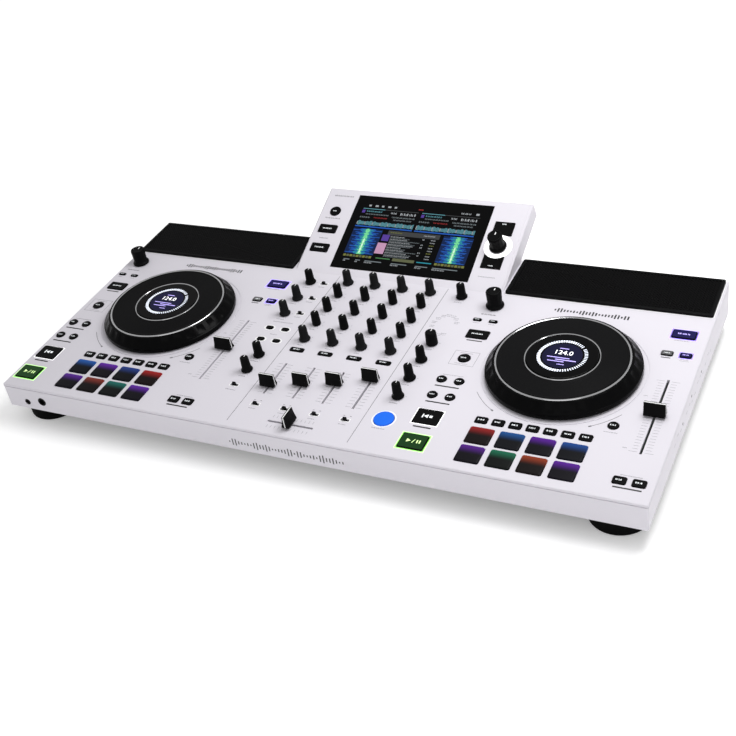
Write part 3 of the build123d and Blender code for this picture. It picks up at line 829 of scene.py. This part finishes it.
pads = {"size": (22.8, 21.3), "rise": 1.6, "foot": -5.8, "start": -45.6, "pitch": 29.15,
        "rows": (-109.6, -135.0),
        "reach": 12 * mm}
padColours = {
    "left": [(0.03, 0.2, 0.8), (0.25, 0.03, 0.75), (0.04, 0.1, 0.5), (0.75, 0.03, 0.03),
             (0.2, 0.03, 0.6), (0.45, 0.06, 0.04), (0.02, 0.3, 0.25), (0.25, 0.04, 0.75)],
    "right": [(0.7, 0.03, 0.03), (0.03, 0.2, 0.7), (0.25, 0.03, 0.75), (0.03, 0.16, 0.7),
              (0.22, 0.03, 0.6), (0.02, 0.35, 0.18), (0.7, 0.1, 0.03), (0.25, 0.03, 0.75)],
}


def makePads():
    width, depth = pads["size"]
    height = pads["rise"] - pads["foot"] - 0.5
    for side in ("left", "right"):
        pieces = []
        for number, colour in enumerate(padColours[side]):
            x = jogX[side] + pads["start"] + pads["pitch"] * (number % 4)
            y = jogY + pads["rows"][number // 4]
            piece = roundedBlock("pad", (width, depth, height), 1.8, 0.8, foot=pads["foot"])
            settle(piece, panelPlace @ Matrix.Translation((x * mm, y * mm, 0)))
            farEdge = (panelPlace @ Vector((0, (y + depth / 2) * mm, 0))).y
            piece.data.materials.append(padFinish(side + "Pad" + str(number), colour, farEdge, pads["reach"]))
            pieces.append(smooth(piece))
        group = joined(pieces, side + "Pads")
        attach(group, side + "_pads")
        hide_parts(side + "_pads")


makePads()
print("pads ready")

# key legends and the lights round the keys

keyTop = 1.2
wideKeys = [(-101.9, 37.2, 23.0, 13.5), (97.0, 79.9, 23.0, 13.0)]
modeKeys = [(-51.3 + 16.54 * number, -88.3, 11.7, 8.5) for number in range(7)]
smallKeys = [(90.1, -133.4, 11.7, 8.9), (107.1, -133.4, 11.7, 8.9), (87.9, 47.4, 11.0, 7.0),
             (105.7, 47.4, 11.0, 7.0)]
roundKeys = [(-101.2, -3.2, 12.6), (66.8, -66.6, 10.0), (-110.9, -39.4, 10.0), (-92.5, -39.4, 10.0),
             (-110.9, -64.0, 10.0), (-92.5, -64.0, 10.0)]
ovalKeys = [(-111.5, 61.8, 9.0, 4.2), (-93.9, 61.6, 9.0, 4.2)]
cueKey = (-102.4, -96.2, 25.4, 20.3)
playKey = (-102.3, -132.1, 26.0, 20.0)


def shifted(side, marks):
    return [(jogX[side] + x, jogY + y, *rest) for x, y, *rest in marks]


def wordBars(x, y, width, tall, seed=0):
    # stands in for a printed word: upright strokes of uneven weight, which spell nothing
    bars, edge, count = [], x - width / 2, seed
    while edge < x + width / 2 - 0.4 * tall:
        stroke = tall * (0.26, 0.42, 0.2, 0.34)[count % 4]
        high = tall * (1.0, 0.7, 1.0, 0.85)[(count * 3 + seed) % 4]
        bars.append((edge + stroke / 2, y - (tall - high) / 2, stroke, high))
        edge += stroke + tall * (0.3, 0.22, 0.5)[(count + seed) % 3]
        count += 1
    return bars


def arrowBars(x, y, length, tall, way=1, steps=8):
    step = length / steps
    return [(x + way * step * (number + 0.5 - steps / 2), y, step, tall * (1 - (number + 0.5) / steps))
            for number in range(steps)]


def makeDeckLegends():
    playX, playY, playWidth, playDepth = playKey
    cueX, cueY = cueKey[:2]
    for side in ("left", "right"):
        body = side + "_deck_buttons"
        bars = []
        for number, (x, y, width, depth) in enumerate(wideKeys[:1] + modeKeys + smallKeys[:3] + ovalKeys):
            bars += wordBars(x, y, width * 0.55, min(1.9, depth * 0.2 + 0.2), number)
        for number, (x, y, size) in enumerate(roundKeys):
            bars += wordBars(x, y, size * 0.55, 1.6, number)
        bars += [(cueX - 4.6, cueY, 1.3, 5.2)] + arrowBars(cueX - 1.4, cueY, 4.4, 5.2, -1)
        bars += [(cueX + 3.6, cueY, 3.0, 3.0)]
        flatMarks(side + "DeckLegends", "legend", panelPlace, body, bars=shifted(side, bars), foot=keyTop)
        flatMarks(side + "PlayGlow", "playKey", panelPlace, body, foot=keyTop - 0.04,
                  bars=shifted(side, [(playX, playY, playWidth - 1.6, playDepth - 1.6)]))
        lime = [(playX + 4.4, playY, 1.2, 4.2), (playX + 7.0, playY, 1.2, 4.2),
                (playX + 0.6, playY, 0.7, 5.4, -0.35)] + arrowBars(playX - 4.2, playY, 4.0, 4.8)
        flatMarks(side + "PlayLegend", "lime", panelPlace, body, bars=shifted(side, lime), foot=keyTop + 0.02)
        glow = [(x, y, width - 1.4, depth - 1.4) for x, y, width, depth in (wideKeys[1], smallKeys[3])]
        flatMarks(side + "IndigoGlow", "indigoKey", panelPlace, body, bars=shifted(side, glow),
                  foot=keyTop - 0.04)
        words = wordBars(*wideKeys[1][:2], 12, 2.4) + wordBars(*smallKeys[3][:2], 6, 1.6)
        flatMarks(side + "IndigoWords", "lavenderLight", panelPlace, body, bars=shifted(side, words),
                  foot=keyTop + 0.02)
        x, y, width, depth = smallKeys[2]
        flatMarks(side + "GreyGlow", "greyKey", panelPlace, body, foot=keyTop - 0.04,
                  bars=shifted(side, [(x, y, width - 1.2, depth - 1.2)]))


def makeKeyLights():
    borders = {
        "greenLight": [(playKey, 0.4, 0.7)], "paleGreenLight": [(playKey, 1.1, 0.9)],
        "whiteLight": [(cueKey, 0.5, 0.6)],
        "purpleLight": [(wideKeys[1], 0.6, 0.5), (smallKeys[3], 0.6, 0.4)],
        "lavenderLight": [(wideKeys[1], 1.1, 1.1), (smallKeys[3], 1.0, 0.8)],
    }
    for side in ("left", "right"):
        for finish, keys in borders.items():
            bars = []
            for (x, y, width, depth), gap, thick in keys:
                bars += frameBars(x, y, width + 2 * gap, depth + 2 * gap, thick)
            flatMarks(side + "Border_" + finish, finish, panelPlace, "chassis", bars=shifted(side, bars),
                      lift=0.08)


# the round lit key of the mixer, and the white surrounds of the four oval keys
litKey = {"place": (87.0, 48.0), "profile": [(10.05, -0.4), (10.05, 0.8), (9.7, 1.3), (8.6, 1.55),
                                             (5.5, 1.75),
                                            (2.0, 1.8)], "ring": (12.2, 10.8)}
ovals = {"places": [(-99.9, 158.2), (-80.7, 158.2), (-99.9, 137.6), (-80.7, 137.6)], "reach": 6.6,
         "squash": 0.72,
         "border": 1.5}


def makeLitKey():
    x, y = litKey["place"]
    key = paint(turned("litKey", litKey["profile"], 64), "blueLight")
    settle(key, panelPlace @ Matrix.Translation((x * mm, y * mm, 0)))
    smooth(key)
    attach(key, "mixer_buttons")
    flatMarks("litKeyRing", "whiteInkAndHighlight", panelPlace, "chassis", rings=[(x, y, *litKey["ring"])], lift=0.1)
    squash = Matrix.Scale(ovals["squash"], 4, (0, 1, 0))
    for number, (x, y) in enumerate(ovals["places"], start=1):
        place = panelPlace @ Matrix.Translation((x * mm, y * mm, 0)) @ squash
        reach = ovals["reach"]
        flatMarks("ovalRing" + str(number), "whiteInkAndHighlight", place, "chassis",
                  rings=[(0, 0, reach, reach - ovals["border"])], lift=0.1)


makeDeckLegends()
makeKeyLights()
makeLitKey()
print("key legends and lights ready")

# printing on the panel

pitchSlot = {"x": 98.7, "y": -44.45, "length": 105.0, "lines": 27}
turnArrows = {"radius": 86.0, "from": 33, "steps": 12, "step": 1.7}
waveMark = {"x": -38.0, "y": 95.5, "count": 24, "pitch": 3.3, "stroke": 1.7, "tall": (2.8, 8.0)}


def waveBars(mark):
    # a plain sound-wave pattern, where a printed name would be
    low, high = mark["tall"]
    bars = []
    for step in range(mark["count"]):
        share = abs(math.sin(step * 0.9) * math.cos(step * 0.31))
        bars.append((mark["x"] + mark["pitch"] * step, mark["y"], mark["stroke"], low + (high - low) * share))
    return bars


def turnArrowBars():
    bars = []
    for way in (-1, 1):
        for step in range(turnArrows["steps"]):
            turn = math.radians(270 + way * (turnArrows["from"] + 2 + step * turnArrows["step"]))
            middle = (turnArrows["radius"] * math.cos(turn), turnArrows["radius"] * math.sin(turn))
            bars.append((*middle, 2.7, 0.5, turn + math.pi / 2))
        tip = math.radians(270 + way * turnArrows["from"])
        bars.append((turnArrows["radius"] * math.cos(tip), turnArrows["radius"] * math.sin(tip), 3.0, 1.6,
                     tip + math.pi / 2))
    return bars


def makeDeckPrinting():
    for side in ("left", "right"):
        black = [(x, y - depth / 2 - 3.6, width * 0.72, 1.5) for x, y, width, depth in wideKeys[:1]]
        black += [(-101.7, -49.3, 25.0, 1.7), (-101.7, -73.9, 25.0, 1.7), (-102.4, -110.9, 18.0, 1.8)]
        black += [(98.6, -141.6, 25.0, 1.7), (87.9, 41.0, 9.0, 1.1)]
        black += wordBars(-102.6, 73.0, 17.0, 1.7)
        faint = []
        for number, (x, y, width, tall) in enumerate([
                (97.0, 70.0, 15.0, 1.2), (105.7, 41.2, 8.0, 1.0), (105.7, 39.0, 9.0, 0.9),
                (98.6, -126.0, 19.0, 1.1),
                (-111.5, 56.8, 7.0, 0.9), (-93.9, 56.6, 7.0, 0.9), (66.8, -75.6, 13.0, 1.2),
                (-101.7, -31.4, 22.0, 0.9),
                (-101.2, -11.8, 14.0, 0.9), (-101.2, 5.2, 14.0, 0.9), (84.0, -18.5, 4.0, 1.2),
                (84.0, -92.0, 4.0, 1.2)]):
            faint += wordBars(x, y, width, tall, number)
        x, y, length = pitchSlot["x"], pitchSlot["y"], pitchSlot["length"]
        for step in range(pitchSlot["lines"]):
            reach = 7.5 if step % 13 == 0 else 5.2
            along = y - length / 2 + 2 + step * (length - 4) / (pitchSlot["lines"] - 1)
            faint += [(x + way * (3.4 + reach / 2), along, reach, 0.3) for way in (-1, 1)]
        outline = frameBars(-101.2, -3.2, 25.5, 22.0, 0.35)
        flatMarks(side + "BlackPrint", "ink", panelPlace, "chassis", bars=shifted(side, black))
        flatMarks(side + "FaintPrint", "faintInk", panelPlace, "chassis", bars=shifted(side, faint + outline))
        flatMarks(side + "TurnArrows", "greyInk", panelPlace, "chassis", bars=shifted(side, turnArrowBars()))
        flatMarks(side + "WaveMark", "ink", panelPlace, "chassis", bars=shifted(side, waveBars(waveMark)))


def makeMixerPrinting():
    grey = [(x, 137.5, 0.5, 258.0) for x in (-66.5, 66.5)]
    faint, white = [], []
    for column, x in enumerate(channelX):
        for step in range(11):
            faint += [(x + way * 5.6, 56.5 + step * 4.65, 6.0, 0.3) for way in (-1, 1)]
        for number, row in enumerate(("gain", "high", "mid", "low", "filter")):
            y = rowY(row + "_knob_1_turn")
            faint += wordBars(x - 1.0, y - 9.6, 7.0, 1.3, number + column)
            for turn in (-150, -100, -50, 50, 100, 150):
                angle = math.radians(90 - turn)
                faint.append((x + 7.9 * math.cos(angle), y + 7.9 * math.sin(angle), 1.5, 0.3, angle))
        grey += [(x - 3.6, 43.6, 1.8, 0.6), (x + 3.6, 43.6, 1.8, 0.6)]
        faint += wordBars(x, 30.9, 8.0, 1.1, column)
        white += frameBars(x, 37.5, 9.2, 3.4, 0.9)
    for number, (x, y, *_) in enumerate(levelKnobs):
        faint += wordBars(x - 1.0, y - 9.8, 9.0, 1.3, number)
        for turn in (-150, -75, 75, 150):
            angle = math.radians(90 - turn)
            faint.append((x + 8.0 * math.cos(angle), y + 8.0 * math.sin(angle), 1.4, 0.3, angle))
    for step in range(-5, 6):
        faint += [(step * 4.4, y, 0.3, 3.6) for y in (25.4, 10.6)]
    for step in range(12):  # choices printed round the selector
        angle = math.radians(20 + step * 25)
        faint += wordBars(87 + 12.5 * math.cos(angle), 204 + 17 * math.sin(angle), 6.0, 1.2, step)
        faint += wordBars(87 + 12.5 * math.cos(angle), 201.6 + 17 * math.sin(angle), 5.0, 1.0, step + 1)
    for number, (x, y, width) in enumerate([(87, 34.2, 14), (-88, 52.2, 12), (-90, 148, 8), (-90, 170.2, 24),
                                            (-78.5, 241.5, 8), (-78.5, 211.5, 8), (-78.5, 182.5, 8)]):
        faint += wordBars(x, y, width, 1.2, number)
    white += [bar for x, y in ((-88.0, 60.1), (-78.5, 248.0), (-78.5, 218.0), (-78.5, 189.0))
              for bar in frameBars(x, y, 9.2, 3.4, 0.9)]
    flatMarks("mixerGreyPrint", "greyInk", panelPlace, "chassis", bars=grey)
    flatMarks("mixerFaintPrint", "faintInk", panelPlace, "chassis", bars=faint)
    flatMarks("switchSurrounds", "whiteInkAndHighlight", panelPlace, "chassis", bars=white)
    legends = [bar for x in channelX for bar in wordBars(x, 128.2, 8.0, 1.7)]
    flatMarks("cueLegends", "legend", panelPlace, "mixer_buttons", bars=legends, foot=keyTop)


makeDeckPrinting()
makeMixerPrinting()
print("printing ready")

# display face: key legends, the lit ring round the encoder, and the picture on the screen

face = {"glassMiddle": 62.8, "keyTop": 1.2, "ring": (15.9, 10.2),
        "keys": [(-107.9, 62.6, 12.0, 1.8), (-107.9, 35.0, 12.0, 1.8), (-107.8, 88.7, 5.0, 1.6),
                 (104.1, 91.0, 5.5, 1.4), (104.3, 34.0, 5.5, 1.4)],
        "labels": [(-107.8, 78.6, 19.0, 1.7), (-107.9, 49.0, 12.0, 1.3), (104.1, 19.5, 20.0, 1.1),
                   (-104.0, 112.0, 26.0, 2.0)]}
screen = {"left": -75.0, "right": 74.5, "low": -43.0, "high": 41.7}


def onGlass(u0, v0, u1, v1):
    # shares of the lit picture, across and down, as a bar
    width, depth = screen["right"] - screen["left"], screen["high"] - screen["low"]
    return (screen["left"] + width * (u0 + u1) / 2, screen["high"] - depth * (v0 + v1) / 2,
            width * (u1 - u0), depth * (v1 - v0))


def words(u, v, width, tall, seed=0):
    x, y, across, along = onGlass(u, v, u + width, v + tall)
    return wordBars(x, y, across, along, seed)


def waveRows(u0, u1, v0, v1, rows, reach, seed, fill=0.8):
    # an upright sound wave: level strips whose length swells and shrinks
    bars = []
    for row in range(rows):
        swell = 0.62 + 0.38 * math.sin(row * 1.9 + seed) * math.cos(row * 0.43 + 2 * seed)
        half = (u1 - u0) / 2 * reach * max(0.15, swell)
        middle, top = (u0 + u1) / 2, v0 + (v1 - v0) * row / rows
        bars.append(onGlass(middle - half, top, middle + half, top + (v1 - v0) / rows * fill))
    return bars


def makeScreen():
    layers = {name: [] for name in ("slateLight", "screenDim", "skyDim", "skyLight", "aquaLight", "tealLight",
                                    "coreLight", "screenText", "oliveLight", "violetLight", "pinkLight",
                                    "lemonLight",
                                    "redLight", "greenMark", "paleCore")}
    for number, u in enumerate((0.05, 0.105, 0.16, 0.215, 0.27)):
        layers["screenText"].append(onGlass(u, 0.022, u + 0.02 + 0.006 * (number % 2), 0.05))
    layers["redLight"].append(onGlass(0.475, 0.03, 0.515, 0.045))
    layers["screenText"] += words(0.83, 0.025, 0.09, 0.026) + [onGlass(0.95, 0.02, 0.975, 0.052)]
    for half in (0.0, 0.505):
        layers["aquaLight"].append(onGlass(half + 0.01, 0.085, half + 0.2, 0.096))
        layers["slateLight"].append(onGlass(half + 0.2, 0.085, half + 0.485, 0.094))
        layers["violetLight"].append(onGlass(half + 0.01, 0.115, half + 0.035, 0.165))
        layers["aquaLight"] += words(half + 0.05, 0.12, 0.13, 0.024, 1)
        layers["screenText"] += words(half + 0.26, 0.12, 0.05, 0.03, 2) + words(half + 0.34, 0.12, 0.13,
                                                                                0.04, 5)
        layers["screenDim"] += words(half + 0.05, 0.17, 0.2, 0.02, 3) + words(half + 0.28, 0.19, 0.19,
                                                                              0.024, 4)
        layers["redLight"] += words(half + 0.13, 0.225, 0.12, 0.02, 7)
        layers["screenDim"] += words(half + 0.01, 0.225, 0.09, 0.024, 5) + words(half + 0.3, 0.235, 0.16,
                                                                                 0.024, 6)
        for step in range(66):
            tall = 0.03 + 0.022 * abs(math.sin(step * 0.7 + half) * math.cos(step * 0.19 + half * 5))
            u = half + 0.004 + step * 0.0073
            bar = onGlass(u, 0.345 - tall, u + 0.0052, 0.345 + tall * 0.6)
            layers["aquaLight" if step % 9 else "screenText"].append(bar)
        layers["skyLight"].append(onGlass(half, 0.385, half + 0.485, 0.405))
    for u0, u1, seed in ((0.0, 0.25, 1.0), (0.76, 1.0, 2.3)):
        layers["skyDim"].append(onGlass(u0, 0.43, u1, 0.86))
        layers["skyLight"] += waveRows(u0, u1, 0.43, 0.86, 34, 1.0, seed)
        layers["tealLight"] += waveRows(u0, u1, 0.43, 0.86, 34, 0.52, seed + 0.4)
        layers["coreLight"] += waveRows(u0, u1, 0.43, 0.86, 34, 0.2, seed + 0.8, 0.95)
        layers["paleCore"] += waveRows(u0, u1, 0.6, 0.84, 16, 0.07, seed + 1.2, 1.0)
        for step in range(9):
            u = u0 + 0.004 + 0.027 * step
            layers["oliveLight" if step % 2 else "lemonLight"].append(onGlass(u, 0.875, u + 0.022, 0.91))
    layers["slateLight"].append(onGlass(0.3, 0.425, 0.73, 0.5))
    layers["lemonLight"] += words(0.32, 0.445, 0.1, 0.02, 2)
    layers["screenText"] += words(0.6, 0.45, 0.1, 0.02, 4)
    for row in range(8):
        top = 0.515 + row * 0.044
        layers["screenText"] += words(0.335, top, 0.12 + 0.03 * ((row * 5) % 4), 0.017, row)
        layers["screenDim"] += words(0.335, top + 0.022, 0.16 + 0.03 * ((row * 3) % 4), 0.014, row + 2)
        if row % 3 != 1:
            layers["screenText"] += words(0.6, top, 0.025, 0.02, row)
        layers["lemonLight" if row % 3 == 2 else "screenText"] += words(0.67, top, 0.04, 0.018, row)
    layers["violetLight"].append(onGlass(0.265, 0.5, 0.325, 0.605))
    layers["pinkLight"].append(onGlass(0.25, 0.64, 0.325, 0.82))
    layers["oliveLight"].append(onGlass(0.42, 0.87, 0.6, 0.915))
    layers["greenMark"].append(onGlass(0.28, 0.885, 0.4, 0.9))
    layers["tealLight"].append(onGlass(0.62, 0.885, 0.74, 0.9))
    for u, width in ((0.02, 0.05), (0.12, 0.04), (0.2, 0.14), (0.42, 0.13), (0.62, 0.1), (0.76, 0.2)):
        layers["screenDim"].append(onGlass(u, 0.95, u + width, 0.964))
        layers["screenText"] += words(u, 0.972, width * 0.5, 0.02, 3)
    for level, (finish, bars) in enumerate(layers.items()):
        flatMarks("screen_" + finish, finish, facePlace, "chassis", bars=bars, lift=0.03, foot=0.012 * level)


def makeFaceLegends():
    lowered = facePlace @ Matrix.Translation((0, -face["glassMiddle"] * mm, 0))
    legends = [bar for number, place in enumerate(face["keys"]) for bar in wordBars(*place, number)]
    labels = [bar for number, place in enumerate(face["labels"]) for bar in wordBars(*place, number)]
    flatMarks("faceLegends", "legend", lowered, "display_buttons", bars=legends, foot=face["keyTop"])
    flatMarks("faceLabels", "greyInk", lowered, "chassis", bars=labels)
    x, y = ((facePlace.inverted() @ jointPlace("display_encoder_turn")) / mm).xy
    flatMarks("encoderGlow", "whiteLight", facePlace, "chassis", rings=[(x, y, *face["ring"])], lift=0.1)


makeScreen()
makeFaceLegends()
print("display face ready")

# speaker grilles: a perforated sheet in a shallow tray, over black cloth, with a painted highlight along the
# front and outer edges

# line is the width of the painted highlight along the front and outer edges
grille = {"inner": 130.5, "outer": 347.0, "front": 269.5, "rear": 334.5, "corner": 2.0, "edge": 0.3,
          "height": 2.75,
          "frame": 2.6, "sunk": 1.5, "pitch": 3.5, "hole": 1.2, "sheet": 0.4, "sheetHeight": 2.5,
          "cells": (60, 17),
          "line": 0.8}


def perforatedSheet(name):
    # one eight-sided cell, repeated both ways and given its thickness
    deselect()
    half = grille["pitch"] / 2
    bpy.ops.mesh.primitive_circle_add(vertices=8, radius=grille["hole"] * mm,
                                      rotation=(0, 0, math.radians(22.5)))
    sheet = newest(name)
    bpy.ops.object.transform_apply(location=True, rotation=True, scale=True)
    bpy.context.tool_settings.mesh_select_mode = (True, False, False)
    bpy.ops.object.mode_set(mode="EDIT")
    bpy.ops.mesh.select_all(action="SELECT")
    bpy.ops.mesh.extrude_region_move()
    grow = half / math.cos(math.radians(22.5)) / grille["hole"]
    bpy.ops.transform.resize(value=(grow, grow, 1), center_override=(0, 0, 0))
    bpy.ops.object.mode_set(mode="OBJECT")
    across, deep = grille["cells"]
    for label, count, step in (("columns", across, (1, 0, 0)), ("rows", deep, (0, 1, 0))):
        repeat = sheet.modifiers.new(label, "ARRAY")
        repeat.count = count
        repeat.relative_offset_displace = step
        repeat.use_merge_vertices = True
        repeat.merge_threshold = 0.00002
        bpy.ops.object.modifier_apply(modifier=label)
    thicken = sheet.modifiers.new("thickness", "SOLIDIFY")
    thicken.thickness = grille["sheet"] * mm
    thicken.offset = 0
    bpy.ops.object.modifier_apply(modifier="thickness")
    across, along = grille["cells"]
    return settle(sheet, Matrix.Translation((-(across - 1) * half * mm, -(along - 1) * half * mm, 0)))


def makeGrilles():
    trays, sheets, lines = [], [], []
    width, depth = grille["outer"] - grille["inner"], grille["rear"] - grille["front"]
    for way in (-1, 1):
        middle = (way * (grille["inner"] + grille["outer"]) / 2, (grille["front"] + grille["rear"]) / 2)
        place = panelPlace @ Matrix.Translation((middle[0] * mm, middle[1] * mm, 0))
        tray = roundedBlock("grilleTray", (width, depth, grille["height"]), grille["corner"], grille["edge"])
        largest = max(face.area for face in tray.data.polygons if face.normal.z > 0.9)
        chooseFaces(tray, lambda face: face.normal.z > 0.9 and face.area > 0.9 * largest)
        bpy.ops.mesh.inset(thickness=grille["frame"] * mm)
        bpy.ops.mesh.extrude_region_move(TRANSFORM_OT_translate={"value": (0, 0, -grille["sunk"] * mm)})
        bpy.ops.object.mode_set(mode="OBJECT")
        trays.append(paint(settle(tray, place), "blackShell"))
        sheet = perforatedSheet("grilleSheet")
        settle(sheet, place @ Matrix.Translation((0, 0, grille["sheetHeight"] * mm)))
        sheets.append(paint(sheet, "blackShell"))
        # white strips just outside the front and outer edges: a painted highlight on the panel's edge
        lines.append((middle[0], grille["front"] - 0.7, width, grille["line"]))
        lines.append((way * (grille["outer"] + 0.7), middle[1], grille["line"], depth))
    for name, pieces in (("grilleTrays", trays), ("grilleSheets", sheets)):
        piece = smooth(joined(pieces, name))
        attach(piece, "chassis")
        if name == "grilleTrays":
            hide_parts("speaker_grilles")
    flatMarks("grilleEdgeHighlights", "whiteInkAndHighlight", panelPlace, "chassis", bars=lines, lift=0.1)


makeGrilles()
print("grilles ready")

# marks on the walls, sunk so that they stand a hair proud

wall = {"lift": 0.055, "foot": -0.05}
frontMark = {"x": -63.0, "y": 28.0, "count": 37, "pitch": 3.5, "stroke": 1.3, "tall": (2.0, 10.0)}
sideMarks = [(-100 + 11.5 * step, 35.0 + 3.4 * math.sin(step * 1.7), 5.0, 1.3) for step in range(14)]
sideDots = [(-34.0, 40.5, 1.5), (8.0, 38.5, 1.5), (-70.0, 36.0, 1.5)]


def makeWallMarks():
    upright = Matrix.Rotation(math.pi / 2, 4, "X")
    front = Matrix.Translation((0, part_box("front_wall")[0].y, 0)) @ upright
    flatMarks("frontWaveMark", "ink", front, "chassis", bars=waveBars(frontMark), **wall)
    sideways = Matrix.Rotation(math.pi / 2, 4, "Z") @ upright
    side = Matrix.Translation((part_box("top_panel")[1].x, 0, 0)) @ sideways
    marks = [bar for step, place in enumerate(sideMarks) for bar in wordBars(*place, step)]
    flatMarks("sideMarks", "greyInk", side, "chassis", bars=marks, **wall)
    flatMarks("sideDots", "ink", side, "chassis", discs=sideDots, **wall)


makeWallMarks()
print("wall marks ready")
